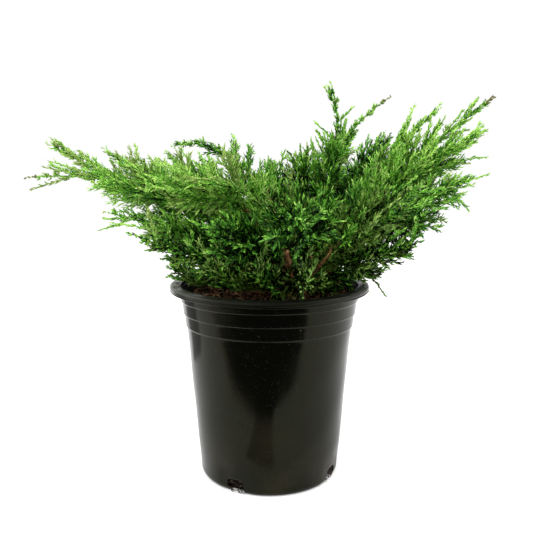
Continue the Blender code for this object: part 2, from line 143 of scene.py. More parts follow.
def makeStage():
    half = floorPlan["side"] / 2
    corners = [(-half, -half, 0), (half, -half, 0), (half, half, 0), (-half, half, 0)]
    floor = addObject("floor", meshOf("floor", corners, [(0, 1, 2, 3)]))
    paper = plainMaterial("floorPaint", floorPlan["colour"], floorPlan["roughness"])
    shader = paper.node_tree.nodes["Principled BSDF"]
    shader.inputs["Emission Color"].default_value = (1, 1, 1, 1)
    shader.inputs["Emission Strength"].default_value = floorPlan["glow"]
    floor.data.materials.append(paper)
    # the dark room, a painted reflection: a strip on the floor, a far wall and a ceiling, hidden from all but glossy
    # rays
    edge = vector(darkPlan["edge"])
    near = np.column_stack([edge, np.full(len(edge), darkPlan["height"])])
    away = near * (1, 0, 1) - (0, darkPlan["far"], 0)
    above = away + (0, 0, darkPlan["wall"])
    ceiling = above + (0, darkPlan["far"] - darkPlan["ceilingEdge"], 0)
    count = len(edge)
    strips = [(k + count, k + count + 1, k + 1, k) for k in range(3 * count - 1) if k % count != count - 1]
    rows = np.concatenate([near, away, above, ceiling])
    dark = addObject("darkRoom", meshOf("darkRoom", rows, strips, smooth=False))
    dark.data.materials.append(darkMaterial())
    # the grey card, a painted reflection of a darker floor
    card = addObject("greyCard", meshOf("greyCard", cardPlan["corners"], [(0, 1, 2, 3)]))
    card.data.materials.append(plainMaterial("cardPaint", cardPlan["colour"], 1.0))
    for thing in (dark, card):
        thing.visible_camera = False
        thing.visible_diffuse = False
        thing.visible_shadow = False
        thing.visible_transmission = False
    world = bpy.data.worlds.new("studio")
    world.use_nodes = True
    backdrop = world.node_tree.nodes["Background"]
    backdrop.inputs["Color"].default_value = (*skyPlan["colour"], 1)
    backdrop.inputs["Strength"].default_value = skyPlan["strength"]
    bpy.context.scene.world = world
    for name, plan in lampPlans.items():
        light = bpy.data.lights.new(name, "AREA")
        light.shape = "RECTANGLE"
        light.size = plan["width"]
        light.size_y = plan["depth"]
        light.energy = plan["watts"]
        lamp = addObject(name, light)
        lamp.visible_glossy = plan.get("glossy", True)
        lamp.location = plan["place"]
        aimAt(lamp, plan["aim"])
    bpy.context.scene.view_settings.view_transform = "Standard"
    bpy.context.scene.view_settings.look = "None"


# Materials

class Shade:
    # a shader socket that takes arithmetic: each operator adds a Math node

    def __init__(self, tree, socket=None):
        self.tree = tree
        self.socket = socket

    def node(self, kind, settings=None, inputs=None, output=0):
        # any other node: its settings first, then the values or links of its sockets
        made = self.tree.nodes.new(kind)
        for name, value in (settings or {}).items():
            if name == "stops":
                fillRamp(made.color_ramp, value)
            else:
                setattr(made, name, value)
        for name, value in (inputs or {}).items():
            feed(self.tree, made.inputs[name], value)
        return Shade(self.tree, made.outputs[output])

    def maths(self, operation, first, second=0.0):
        return self.node("ShaderNodeMath", {"operation": operation}, {0: first, 1: second})

    def __add__(self, other):
        return self.maths("ADD", self, other)

    def __sub__(self, other):
        return self.maths("SUBTRACT", self, other)

    def __mul__(self, other):
        return self.maths("MULTIPLY", self, other)

    def __truediv__(self, other):
        return self.maths("DIVIDE", self, other)

    def __pow__(self, other):
        return self.maths("POWER", self, other)

    def __rsub__(self, other):
        return self.maths("SUBTRACT", other, self)

    __radd__ = __add__
    __rmul__ = __mul__

    def between(self, low, high):
        # 0 below low, 1 above high, and smooth from one to the other
        settings = {"interpolation_type": "SMOOTHSTEP"}
        return self.node("ShaderNodeMapRange", settings, {"Value": self, "From Min": low, "From Max": high})

    def mixed(self, first, second):
        # the first colour where this is 0 and the second where it is 1
        inputs = {0: self, 6: paint(first), 7: paint(second)}
        return self.node("ShaderNodeMix", {"data_type": "RGBA"}, inputs, output=2)


def fillRamp(ramp, stops):
    while len(ramp.elements) < len(stops):
        ramp.elements.new(0.5)
    for element, (place, colour) in zip(ramp.elements, stops):
        element.position = place
        element.color = paint(colour)


def paint(colour):
    return (*colour, 1.0) if isinstance(colour, tuple) and len(colour) == 3 else colour


def feed(tree, target, value):
    if isinstance(value, Shade):
        tree.links.new(value.socket, target)
    else:
        target.default_value = value


def newMaterial(name):
    # a material's tree as a Shade, its Principled shader and its Object coordinates
    material = bpy.data.materials.new(name)
    material.use_nodes = True
    tree = material.node_tree
    start = Shade(tree)
    place = start.node("ShaderNodeTexCoord", output=3)
    return material, start, tree.nodes["Principled BSDF"], place


def plainMaterial(name, colour, roughness):
    material = bpy.data.materials.new(name)
    material.use_nodes = True
    shader = material.node_tree.nodes["Principled BSDF"]
    shader.inputs["Base Color"].default_value = paint(colour)
    shader.inputs["Roughness"].default_value = roughness
    return material


def cloud(place, scale, detail=2.0, stretch=(1, 1, 1)):
    # soft noise from 0 to 1 over the object's own coordinates
    spread = place.node("ShaderNodeMapping", inputs={"Vector": place, "Scale": stretch})
    return place.node("ShaderNodeTexNoise", inputs={"Vector": spread, "Scale": scale, "Detail": detail})


def heightOf(place):
    return place.node("ShaderNodeSeparateXYZ", inputs={"Vector": place}, output=2)


def bumped(height, distance, strength=1.0):
    inputs = {"Height": height, "Distance": distance, "Strength": strength}
    return height.node("ShaderNodeBump", inputs=inputs)


def darkMaterial():
    # the dark room, a painted reflection: paler to the left, where daylight reaches it, and paler on the tongue that
    # comes nearer the pot, for the lit floor that the pot reflects there
    material, start, shader, place = newMaterial("darkRoomPaint")
    along = place.node("ShaderNodeSeparateXYZ", inputs={"Vector": place}, output=0)
    towards = place.node("ShaderNodeSeparateXYZ", inputs={"Vector": place}, output=1)
    colour = along.between(*darkPlan["fade"]).mixed(darkPlan["pale"], darkPlan["colour"])
    colour = towards.between(*darkPlan["tongueFade"]).mixed(colour, darkPlan["tongue"])
    feed(start.tree, shader.inputs["Base Color"], colour)
    shader.inputs["Roughness"].default_value = 1.0
    return material


def plasticMaterial():
    # black blow-moulded plastic: a soft gloss, dust towards the foot, pale specks, faint scuffs and a painted highlight
    # on the flange's top
    material, start, shader, place = newMaterial("blackPlastic")
    tree = material.node_tree
    blotches = cloud(place, 22.0, 4.0)
    foot = 1 - heightOf(place).between(0.0, 0.10)
    dust = foot * blotches.between(0.35, 0.75) * 0.55
    streaks = cloud(place, 60.0, 3.0, (1, 1, 0.16)).between(0.5, 0.8)
    colour = dust.mixed((0.0012, 0.0013, 0.0009), (0.016, 0.012, 0.007))
    cells = place.node("ShaderNodeTexVoronoi", {"feature": "F1"}, {"Vector": place, "Scale": 95.0})
    cell = place.node("ShaderNodeTexVoronoi", {"feature": "F1"}, {"Vector": place, "Scale": 95.0}, output=2)
    pick = place.node("ShaderNodeTexWhiteNoise", {"noise_dimensions": "3D"}, {"Vector": cell})
    specks = (1 - cells.between(0.020, 0.050)) * pick.between(0.88, 0.89)
    colour = specks.mixed(colour, (0.17, 0.165, 0.14))
    fine = place.node("ShaderNodeTexVoronoi", {"feature": "F1"}, {"Vector": place, "Scale": 420.0})
    grit = (1 - fine.between(0.10, 0.20)) * cloud(place, 150.0, 1.0).between(0.50, 0.60)
    colour = (grit * 0.22).mixed(colour, (0.10, 0.10, 0.085))
    # the lip is a little duller, most at the left: its height less the lift towards the back
    towards = place.node("ShaderNodeSeparateXYZ", inputs={"Vector": place}, output=1)
    along = place.node("ShaderNodeSeparateXYZ", inputs={"Vector": place}, output=0)
    level = heightOf(place) - (0.5 + towards * (0.5 / potPlan["rimRadius"])) ** 0.6 * potPlan["backRise"]
    lip = level.between(0.2118, 0.2140)
    # painted highlight: the flange's flat top is painted a paler grey where light from above falls on it, most of all
    # at the left
    flange = level.between(0.2160, 0.2185)
    left = 1 - along.between(-0.100, -0.060)
    colour = (flange * (0.08 + left) * blotches).mixed(colour, (0.120, 0.122, 0.110))
    feed(tree, shader.inputs["Base Color"], colour)
    # the inner wall is dull: above the top ring and nearer the axis than the outer wall there, as squares
    inner = 1 - (along * along + towards * towards).between(0.01037, 0.01047)
    inside = inner * heightOf(place).between(0.2055, 0.2060)
    roughness = 0.11 + blotches * 0.08 + streaks * 0.05 + dust * 0.35 + lip * 0.14 * (1 - left * 0.8) + inside * 0.6
    feed(tree, shader.inputs["Roughness"], roughness)
    shader.inputs["Specular IOR Level"].default_value = 0.118
    shader.inputs["Specular Tint"].default_value = (0.98, 1.0, 0.64, 1.0)
    ripple = cloud(place, 34.0, 1.0, (1, 1, 0.5)) * 0.9 + cloud(place, 420.0, 2.0) * 0.05
    feed(tree, shader.inputs["Normal"], bumped(ripple, 0.0004, 0.30))
    return material


def compostMaterial():
    # damp bark: dark patches and paler grains, with painted shade that makes it nearly black down in the drain holes
    material, start, shader, place = newMaterial("barkCompost")
    tree = material.node_tree
    grain = cloud(place, 240.0, 5.0)
    patches = cloud(place, 45.0, 2.0)
    dark = patches.mixed((0.007, 0.004, 0.0025), (0.024, 0.013, 0.007))
    colour = grain.between(0.45, 0.75).mixed(dark, (0.080, 0.042, 0.021))
    # painted shade: low in the pot, where it is seen through the drain holes, the compost is painted nearly black
    low = 1 - heightOf(place).between(0.02, 0.05)
    feed(tree, shader.inputs["Base Color"], (low * 0.85).mixed(colour, (0.0012, 0.0008, 0.0006)))
    feed(tree, shader.inputs["Roughness"], 0.86 + grain * 0.12)
    feed(tree, shader.inputs["Normal"], bumped(grain + patches, 0.0022, 0.9))
    shader.inputs["Specular IOR Level"].default_value = 0.05
    return material


def chipMaterial():
    # each chip of bark takes its tone from the cell of space that it lies in
    material, start, shader, place = newMaterial("barkChips")
    tree = material.node_tree
    cell = place.node("ShaderNodeTexVoronoi", {"feature": "F1"}, {"Vector": place, "Scale": 190.0}, output=2)
    pick = place.node("ShaderNodeTexWhiteNoise", {"noise_dimensions": "3D"}, {"Vector": cell})
    stops = [(0.0, (0.014, 0.008, 0.005)), (0.40, (0.080, 0.040, 0.020)), (0.75, (0.30, 0.145, 0.068)),
             (1.0, (0.55, 0.34, 0.19))]
    tone = pick.node("ShaderNodeValToRGB", {"stops": stops}, {"Fac": pick})
    grain = cloud(place, 500.0, 3.0)
    feed(tree, shader.inputs["Base Color"], (grain * 0.45).mixed(tone, (0.020, 0.012, 0.008)))
    feed(tree, shader.inputs["Roughness"], 0.80 + grain * 0.15)
    feed(tree, shader.inputs["Normal"], bumped(grain, 0.0006, 0.7))
    shader.inputs["Specular IOR Level"].default_value = 0.12
    return material


def woodMaterial(name, inner, outer, scale):
    # flaking bark: long strips of two tones, drawn out along the stems
    material, start, shader, place = newMaterial(name)
    tree = material.node_tree
    strips = cloud(place, scale, 4.0)
    fine = cloud(place, scale * 4, 3.0)
    mixed = strips.between(0.36, 0.66).mixed(inner, outer)
    crevice = tuple(value * 0.4 for value in inner)
    feed(tree, shader.inputs["Base Color"], (fine * 0.35).mixed(mixed, crevice))
    feed(tree, shader.inputs["Roughness"], 0.70 + fine * 0.2)
    feed(tree, shader.inputs["Normal"], bumped(strips + fine * 0.5, 0.0008, 0.8))
    return material


def leafMaterial(name, colour, gloss):
    # scale leaves: one green for the whole piece, a little lighter and darker from scale to scale
    material, start, shader, place = newMaterial(name)
    tree = material.node_tree
    scales = cloud(place, 600.0, 2.0)
    low = tuple(value * 0.46 for value in colour)
    high = tuple(min(1.0, value * 1.60) for value in colour)
    feed(tree, shader.inputs["Base Color"], scales.between(0.3, 0.7).mixed(low, high))
    feed(tree, shader.inputs["Roughness"], 0.44 + scales * 0.16)
    shader.inputs["Specular IOR Level"].default_value = gloss
    return material


# Pot: the measures of the solid, with the fine form that it leaves out

potPlan = dict(
    height=0.220, rimRadius=0.115, lipWidth=0.0122, lipRise=0.0046, lipSkirt=0.0026, backRise=0.0060,
    footRadius=0.0808, draft=0.0906, cornerRise=0.007, cornerInset=0.0058,
    steps=(0.1765, 0.1910, 0.2055), stepDepth=0.0013, wall=0.0023, floor=0.0030, innerTop=((0.1003, 0.2062), (0.1018, 0.2135)),
    around=360, drainAngles=(62, 152, 242, 332), drainWidth=0.021, drainTop=0.0155, drainDepth=0.022,
    dimpleWidth=0.036, dimpleHeight=0.027, dimpleDepth=0.0011, ripple=0.00022,
)


def wallRadius(height):
    # the foot's radius, the draft times the height, and one step more above each ring
    plan = potPlan
    rings = sum(plan["stepDepth"] * (height > ring) for ring in plan["steps"])
    return plan["footRadius"] + plan["draft"] * (height - plan["cornerRise"]) + rings


def innerRadius(height):
    plan = potPlan
    return plan["footRadius"] + plan["draft"] * (height - plan["cornerRise"]) - plan["wall"]


def potProfile():
    # radius and height from the inner floor up the inner wall, over the rolled lip, and down the outer wall
    plan = potPlan
    inside = [(0.0, plan["floor"]), (innerRadius(plan["floor"]) - plan["cornerInset"], plan["floor"])]
    inside += [(innerRadius(h), h) for h in np.linspace(plan["cornerRise"] + plan["wall"], 0.2045, 24)]
    inside += plan["innerTop"]
    base = plan["height"] - plan["lipRise"]
    middle = plan["rimRadius"] - plan["lipWidth"] / 2
    turns = np.linspace(0, math.pi, 26)
    half = plan["lipWidth"] / 2
    # a flat flange with round edges: a superellipse of power 5
    lip = [(middle - half * np.sign(math.cos(t)) * abs(math.cos(t)) ** 0.4, base + plan["lipRise"] * math.sin(t) ** 0.4)
           for t in turns]
    skirt = base - plan["lipSkirt"]
    rim = plan["rimRadius"]
    # a thin bead along the lower edge of the lip
    under = [(rim - 0.0004, base - 0.0004), (rim - 0.0009, skirt + 0.0016), (rim - 0.0001, skirt + 0.0010)]
    under += [(rim - 0.0002, skirt + 0.0005), (rim - 0.0010, skirt + 0.0001), (rim - 0.0024, skirt - 0.0001)]
    under += [(rim - 0.0060, skirt + 0.0004)]
    under += [(wallRadius(skirt) + 0.0012, skirt + 0.0002), (wallRadius(skirt) + 0.0002, skirt - 0.0010)]
    outside = []
    tops = [skirt - 0.0020, *reversed(plan["steps"])]
    for top, ring in zip(tops, reversed(plan["steps"])):
        drop = plan["stepDepth"]
        outside += [(wallRadius(h), h) for h in np.linspace(top - 0.0012, ring + 0.0012, 7)]
        outside += [(wallRadius(ring + 0.0001) + 0.00008, ring + 0.0003), (wallRadius(ring + 0.0001) - 0.00008, ring)]
        outside += [(wallRadius(ring) + drop * 0.30, ring - 0.0003), (wallRadius(ring) + drop * 0.05, ring - 0.0006)]
    outside += [(wallRadius(h), h) for h in np.linspace(plan["steps"][0] - 0.0018, plan["cornerRise"], 64)]
    foot = plan["footRadius"] - plan["cornerInset"]
    corner = [(foot + plan["cornerInset"] * math.cos(t), plan["cornerRise"] * (1 - math.sin(t)))
              for t in np.linspace(0.12, math.pi / 2, 12)]
    rest = [(foot - 0.004, 0.0), (foot - 0.006, 0.0009), (0.0, 0.0009)]
    return np.array(inside + lip + under + outside + corner + rest)


def angleGap(angles, centre):
    # the shortest turn from a centre to each angle, in radians
    return (angles - centre + math.pi) % (2 * math.pi) - math.pi


def turnedGrid(profile, around):
    # the profile carried round Z: radius times cosine and sine of the angle, and its own height
    angles = np.linspace(0, 2 * math.pi, around, endpoint=False)
    radius = np.repeat(profile[:, :1], around, axis=1)
    height = np.repeat(profile[:, 1:], around, axis=1)
    return radius, height, np.broadcast_to(angles, radius.shape)


def closedTurning(name, radius, height, angles, smooth=True):
    # a grid closed round Z, whose first and last rows meet on the axis as one point each
    rows, around = radius.shape
    grid = np.stack([radius * np.cos(angles), radius * np.sin(angles), height], -1)
    points = np.concatenate([grid[0, :1], grid[1:-1].reshape(-1, 3), grid[-1, :1]])
    ring = np.arange(around)
    following = (ring + 1) % around
    quads = []
    for row in range(rows - 3):
        low = 1 + row * around
        high = low + around
        quads.append(np.stack([low + ring, low + following, high + following, high + ring], -1))
    last = len(points) - 1
    final = 1 + (rows - 3) * around
    start = np.stack([np.zeros_like(ring), 1 + following, 1 + ring], -1)
    end = np.stack([np.full_like(ring, last), final + ring, final + following], -1)
    return meshOf(name, points, np.concatenate(quads), np.concatenate([start, end]), smooth)


def superBlock(name, centre, angle, size, power=5.0, steps=20):
    # |x/a|^p + |y/b|^p + |z/c|^p = 1: a block with round corners, turned to its place
    across = np.linspace(0, 2 * math.pi, steps * 2, endpoint=False)[None]
    rise = np.linspace(-math.pi / 2, math.pi / 2, steps + 1)[:, None]

    def bent(value):
        return np.sign(value) * np.abs(value) ** (2 / power)

    x = bent(np.cos(rise)) * bent(np.cos(across)) * size[0] / 2
    y = bent(np.cos(rise)) * bent(np.sin(across)) * size[1] / 2
    z = bent(np.sin(rise)) * np.ones_like(across) * size[2] / 2
    mesh = closedTurning(name, np.hypot(x, y), z, np.arctan2(y, x))
    block = addObject(name, mesh)
    mesh.transform(Matrix.Translation(centre) @ Matrix.Rotation(angle, 4, "Z"))
    return block


def lipLift(y, height):
    # the soft lip stands a little higher towards the back
    plan = potPlan
    share = np.clip((height - plan["steps"][2] - 0.001) / 0.006, 0, 1)
    return plan["backRise"] * share * np.clip(0.5 + 0.5 * y / plan["rimRadius"], 0, 1) ** 0.6


def makePot():
    plan = potPlan
    radius, height, angles = turnedGrid(potProfile(), plan["around"])
    radius = radius.copy()
    # a shallow scoop round each drain hole, deepest at its middle and low on the wall
    outer = (np.arange(len(radius)) > 60)[:, None] & (height < 0.06)
    for drain in plan["drainAngles"]:
        across = angleGap(angles, math.radians(drain)) * plan["footRadius"] / (plan["dimpleWidth"] / 2)
        up = (height - 0.004) / plan["dimpleHeight"]
        scoop = plan["dimpleDepth"] * np.exp(-(across**4) - up**4)
        radius -= np.where(outer & (radius > 0.03), scoop, 0)
    height = height + lipLift(radius * np.sin(angles), height)
    # the slight waviness of a blown wall
    wave = np.sin(3 * angles + 40 * height) + 0.6 * np.sin(7 * angles - 90 * height + 1.3)
    radius += np.where((height > 0.012) & (radius > 0.03), plan["ripple"] * wave, 0)
    mesh = closedTurning("nurseryPot", radius, height, angles)
    piece = addPiece("nurseryPot", mesh, plasticMaterial(), ["pot"])
    for number, drain in enumerate(plan["drainAngles"]):
        turn = math.radians(drain)
        centre = (plan["footRadius"] * math.cos(turn), plan["footRadius"] * math.sin(turn), 0.0)
        size = (plan["drainDepth"], plan["drainWidth"], plan["drainTop"] * 2)
        block = superBlock(f"drainBlock{number}", centre, turn, size)
        cut = piece.modifiers.new("drain", "BOOLEAN")
        cut.operation = "DIFFERENCE"
        cut.object = block
        block.hide_render = True
        block.hide_viewport = True
        applyModifiers(piece)
        bpy.data.objects.remove(block)
    faceOutward(piece.data)
    return piece


def applyModifiers(piece):
    bpy.context.view_layer.update()
    graph = bpy.context.evaluated_depsgraph_get()
    mesh = bpy.data.meshes.new_from_object(piece.evaluated_get(graph))
    piece.modifiers.clear()
    piece.data = mesh


def signedVolume(mesh):
    # a sixth of the sum of each triangle's triple product
    mesh.calc_loop_triangles()
    points = np.empty(len(mesh.vertices) * 3, np.float32)
    mesh.vertices.foreach_get("co", points)
    faces = np.empty(len(mesh.loop_triangles) * 3, np.int32)
    mesh.loop_triangles.foreach_get("vertices", faces)
    corners = points.reshape(-1, 3)[faces.reshape(-1, 3)].astype(float)
    return float(np.linalg.det(corners).sum() / 6)


def faceOutward(mesh):
    if signedVolume(mesh) < 0:
        mesh.flip_normals()


# Compost: an uneven top under the lip, loose chips of bark on it, and roots in the drain holes

compostPlan = dict(
    top=0.204, gap=0.0003, around=220, rings=70, bumps=0.0016, chips=3400, edge=(0.0996, 0.2100), roots=26,
    bank=0.0060,
    rootLengths=(0.005, 0.012), rootRadius=0.00045,
)


def soilHeight(x, y):
    # the level top and a few crossing waves of unlike lengths
    waves = np.sin(61 * x + 23 * y) * np.cos(47 * y - 31 * x) + 0.6 * np.sin(140 * x - 90 * y + 1.0)
    waves += 0.4 * np.cos(230 * x + 170 * y)
    return compostPlan["top"] + compostPlan["bumps"] * (0.5 * waves - 0.3)


def makeCompost():
    plan = compostPlan
    inset = plan["gap"] + 0.0005
    reach = innerRadius(plan["top"]) - inset - 0.001
    top = [(r, plan["top"]) for r in np.linspace(0, reach, plan["rings"])]
    side = [plan["edge"], (plan["edge"][0], plan["edge"][1] - 0.0006)]
    side += [(innerRadius(h) - inset, h) for h in np.linspace(plan["top"] - 0.002, 0.012, 40)]
    base = [(innerRadius(0.012) - 0.004, potPlan["floor"] + plan["gap"]), (0.0, potPlan["floor"] + plan["gap"])]
    radius, height, angles = turnedGrid(np.array(top + side + base), plan["around"])
    x, y = radius * np.cos(angles), radius * np.sin(angles)
    surface = (np.arange(len(radius)) < plan["rings"])[:, None]
    rim = np.clip((reach - radius) / 0.004 + 0.001, 0, 1)
    height = np.where(surface, plan["top"] - 0.001 + (soilHeight(x, y) - plan["top"] + 0.001) * rim, height)
    mesh = closedTurning("compost", radius, height, angles)
    faceOutward(mesh)
    addPiece("compost", mesh, compostMaterial(), ["soil"])


def makeChips():
    # rough eight-cornered chips: each corner of a box moved at random, then turned and laid on the compost
    draw = np.random.default_rng(11)
    count = compostPlan["chips"]
    away = (innerRadius(compostPlan["top"]) - 0.006) * np.sqrt(draw.uniform(0, 1, count))
    turn = draw.uniform(0, 2 * math.pi, count)
    x, y = away * np.cos(turn), away * np.sin(turn)
    long = draw.uniform(0.0020, 0.0085, count)
    size = np.stack([long, long * draw.uniform(0.14, 0.42, count), long * draw.uniform(0.10, 0.28, count)], -1)
    box = np.array([(i, j, k) for i in (-1, 1) for j in (-1, 1) for k in (-1, 1)], float)
    corners = box[None] * size[:, None] * draw.uniform(0.45, 1.0, (count, 8, 3))
    spin = draw.uniform(0, 2 * math.pi, count)
    tilt = draw.normal(0, 0.35, count)
    cosine, sine = np.cos(spin)[:, None], np.sin(spin)[:, None]
    rise = corners[..., 2] + corners[..., 0] * np.sin(tilt)[:, None]
    points = np.stack([
        x[:, None] + corners[..., 0] * cosine - corners[..., 1] * sine,
        y[:, None] + corners[..., 0] * sine + corners[..., 1] * cosine,
        (soilHeight(x, y) + compostPlan["bank"] * (away / away.max()) ** 10)[:, None] + size[:, 2:] * 0.6 + rise,
    ], -1)
    sides = np.array([(0, 1, 3, 2), (4, 6, 7, 5), (0, 4, 5, 1), (2, 3, 7, 6), (0, 2, 6, 4), (1, 5, 7, 3)])
    quads = sides[None] + 8 * np.arange(count)[:, None, None]
    mesh = meshOf("looseChips", points, quads.reshape(-1, 4), smooth=False)
    addPiece("looseChips", mesh, chipMaterial())


def makeRoots(material):
    # fine roots across each drain hole: short rods that bow outwards from the root ball's side
    draw = np.random.default_rng(61)
    plan = compostPlan
    count = plan["roots"]
    turn = np.radians(np.repeat(potPlan["drainAngles"], count)) + draw.uniform(-0.12, 0.12, 4 * count)
    height = draw.uniform(0.0015, 0.0145, 4 * count)
    outwards = np.stack([np.cos(turn), np.sin(turn), np.zeros(4 * count)], -1)
    along = np.stack([-np.sin(turn), np.cos(turn), draw.normal(0, 0.8, 4 * count)], -1)
    along = unitRows(along)
    radius = potPlan["footRadius"] - 0.0034
    length = draw.uniform(*plan["rootLengths"], 4 * count)
    root = outwards * radius - along * length[:, None] / 2
    root[:, 2] = np.clip(height, 0.002, 0.0135)
    rods = dict(
        root=root, along=along * (1, 1, 0.5) + outwards * 1.0, bend=-outwards * 1.0, face=outwards, length=length,
        thick=draw.uniform(0.6, 1.4, 4 * count),
    )
    points, triangles = rodMesh(rods, ((0.0, 0.7), (0.3, 1.0), (0.6, 0.9)), plan["rootRadius"])
    points[:, 2] = np.maximum(points[:, 2], 0.0004)
    addPiece("holeRoots", meshOf("holeRoots", points, triangles=triangles), material)


# Limbs: the same tips and the same rule as the solids, with the tone of each limb's green, partly its own colour and
# partly painted light and shade

trunkPlan = dict(
    foot=(0.030, -0.004), height=0.056, flare=0.0125, radius=0.0090, tip=0.0062, lean=(0.003, -0.002),
    levelFoot=0.0075, levelRise=0.0088, around=72, rings=60,
)
stemPlan = dict(
    boughRadius=0.0029, radius=0.0021, tipRadius=0.0007, end=0.96, sunk=0.0020, boughShare=0.20,
    leafless=0.10, points=33,
)
shootPlan = dict(
    spacing=0.0113, places=(0.0, 0.30, 0.75, 1.0), lengths=(0.070, 0.090, 0.054, 0.026),
    leans=(54, 44, 30, 20), halfWidth=0.27, lift=0.42, twist=0.25, terminal=0.034, margin=0.0009,
    potClearance=0.0035, golden=math.radians(137.508),
    sizes=((1.0, 1.0), (1.0, 0.7), (0.8, 0.9), (0.8, 0.5), (0.6, 0.7), (0.5, 0.4)), turns=(0.0, 0.8, -0.8),
)
mainLimbs = (
    dict(azimuth=182, reach=0.279, height=0.344, rise=30, nod=-6, swing=0, level=5, tone=0.68, under=0.97, leaders=1, olive=0.25, slim=True, brown=True,
         lift=0.20),
    dict(azimuth=174, reach=0.268, height=0.388, rise=38, nod=28, swing=0, level=0.25, tone=0.80, girth=0.88, leaders=0, olive=0.28),
    dict(azimuth=164, reach=0.214, height=0.385, rise=42, nod=42, swing=0, level=3, tone=0.68, olive=0.22, leaders=1),
    dict(azimuth=196, reach=0.186, height=0.308, rise=28, nod=14, swing=0, level=1.75, tone=0.50, under=0.95, olive=0.20, slim=True,
         leaders=1),
    dict(azimuth=218, reach=0.162, height=0.330, rise=60, nod=-16, swing=0, level=3.75, tone=0.78),
    dict(azimuth=140, reach=0.182, height=0.384, rise=46, nod=38, swing=0, level=4.5, tone=0.44, leaders=1, upright=0.40),
    dict(azimuth=143, reach=0.160, height=0.386, rise=68, nod=-14, swing=-8, level=5.25, spread=0.6, tone=0.22, girth=0.58, leaders=0,
         upright=0.88),
    dict(azimuth=111, reach=0.140, height=0.372, rise=58, nod=40, swing=0, level=2, spread=0.8, tone=0.02, leaders=1, upright=0.50),
    dict(azimuth=90, reach=0.165, height=0.368, rise=52, nod=34, swing=0, level=-0.5, tone=0.00, full=True),
    dict(azimuth=358, reach=0.068, height=0.452, rise=72, nod=110, swing=0, level=5.25, spread=0.6, tone=0.44, leaders=0, slim=True),
    dict(azimuth=12, reach=0.148, height=0.441, rise=74, nod=32, swing=30, level=4.5, spread=0.55, tone=0.48, leaders=0, slim=True, brown=True),
    dict(azimuth=37, reach=0.202, height=0.404, rise=50, nod=42, swing=0, level=-0.5, tone=-0.13, full=True),
    dict(azimuth=16, reach=0.222, height=0.433, rise=54, nod=36, swing=0, level=0.5, tone=0.54, leaders=1, slim=True),
    dict(azimuth=0, reach=0.257, height=0.436, rise=52, nod=36, swing=0, level=3, tone=0.66, girth=0.92, leaders=0, slim=True, brown=True,
         lift=0.10),
    dict(azimuth=353, reach=0.238, height=0.395, rise=44, nod=24, swing=0, level=1.5, tone=0.70, full=True, leaders=2),
    dict(azimuth=346, reach=0.238, height=0.354, rise=40, nod=22, swing=0, level=0, tone=0.56, leaders=0, end=0.87),
    dict(azimuth=339, reach=0.205, height=0.308, rise=28, nod=4, swing=0, level=4, tone=0.10, under=0.95, full=True, leaders=0,
         end=0.78, olive=0.35),
    dict(azimuth=315, reach=0.200, height=0.334, rise=46, nod=22, swing=0, level=0.5, tone=0.22, olive=0.35),
    dict(azimuth=277, reach=0.190, height=0.306, rise=46, nod=10, swing=0, level=2.75, tone=0.02, full=True),
    dict(azimuth=250, reach=0.160, height=0.296, rise=42, nod=18, swing=0, level=1.25, tone=0.00, full=True),
    dict(azimuth=62, reach=0.200, height=0.345, rise=42, nod=18, swing=0, level=1.75, tone=0.05, full=True),
    dict(azimuth=122, reach=0.205, height=0.345, rise=40, nod=14, swing=0, level=0.25, tone=-0.34, full=True),
)
lowLimbs = (
    dict(azimuth=28, reach=0.048, height=0.378, rise=78, nod=84, swing=0, level=3.5, spread=1.4, tone=0.25, full=True),
    dict(azimuth=212, reach=0.160, height=0.282, rise=26, nod=20, swing=0, level=0.75, tone=0.20, under=0.95, leaders=1, end=0.93, olive=0.35),
    dict(azimuth=329, reach=0.172, height=0.272, rise=24, nod=14, swing=0, level=2.25, tone=0.06, under=0.95, full=True, leaders=1, olive=0.45),
    dict(azimuth=183, reach=0.116, height=0.252, rise=12, nod=46, swing=0, level=-0.5, tone=0.42, full=True, olive=0.60),
    dict(azimuth=228, reach=0.098, height=0.260, rise=16, nod=56, swing=0, level=0, tone=0.26, full=True, olive=0.60),
    dict(azimuth=262, reach=0.104, height=0.256, rise=20, nod=36, swing=0, level=-0.5, tone=0.08, full=True, olive=0.60),
    dict(azimuth=286, reach=0.126, height=0.236, rise=30, nod=-20, swing=0, level=0, tone=-0.14, full=True, olive=0.75),
    dict(azimuth=356, reach=0.142, height=0.236, rise=16, nod=-18, swing=14, level=-0.5, tone=0.26, under=0.92, full=True, leaders=0, end=0.72, olive=0.60),
    dict(azimuth=52, reach=0.118, height=0.270, rise=24, nod=34, swing=0, level=0.25, tone=-0.10, full=True),
    dict(azimuth=125, reach=0.112, height=0.272, rise=20, nod=44, swing=0, level=-0.5, tone=-0.10, full=True),
)


def direction(azimuth, elevation):
    a, e = math.radians(azimuth), math.radians(elevation)
    return vector((math.cos(a) * math.cos(e), math.sin(a) * math.cos(e), math.sin(e)))


def trunkCentre(height):
    # the foot, the lean times the square of the share climbed, and the height itself
    plan = trunkPlan
    share = (height / plan["height"]) ** 2
    base = compostPlan["top"] + compostPlan["gap"]
    return vector((plan["foot"][0] + plan["lean"][0] * share, plan["foot"][1] + plan["lean"][1] * share, base + height))


def trunkRadius(height):
    # a straight taper and a flare that dies away with height
    plan = trunkPlan
    share = height / plan["height"]
    return plan["radius"] + (plan["tip"] - plan["radius"]) * share + (plan["flare"] - plan["radius"]) * np.exp(-9 * share)


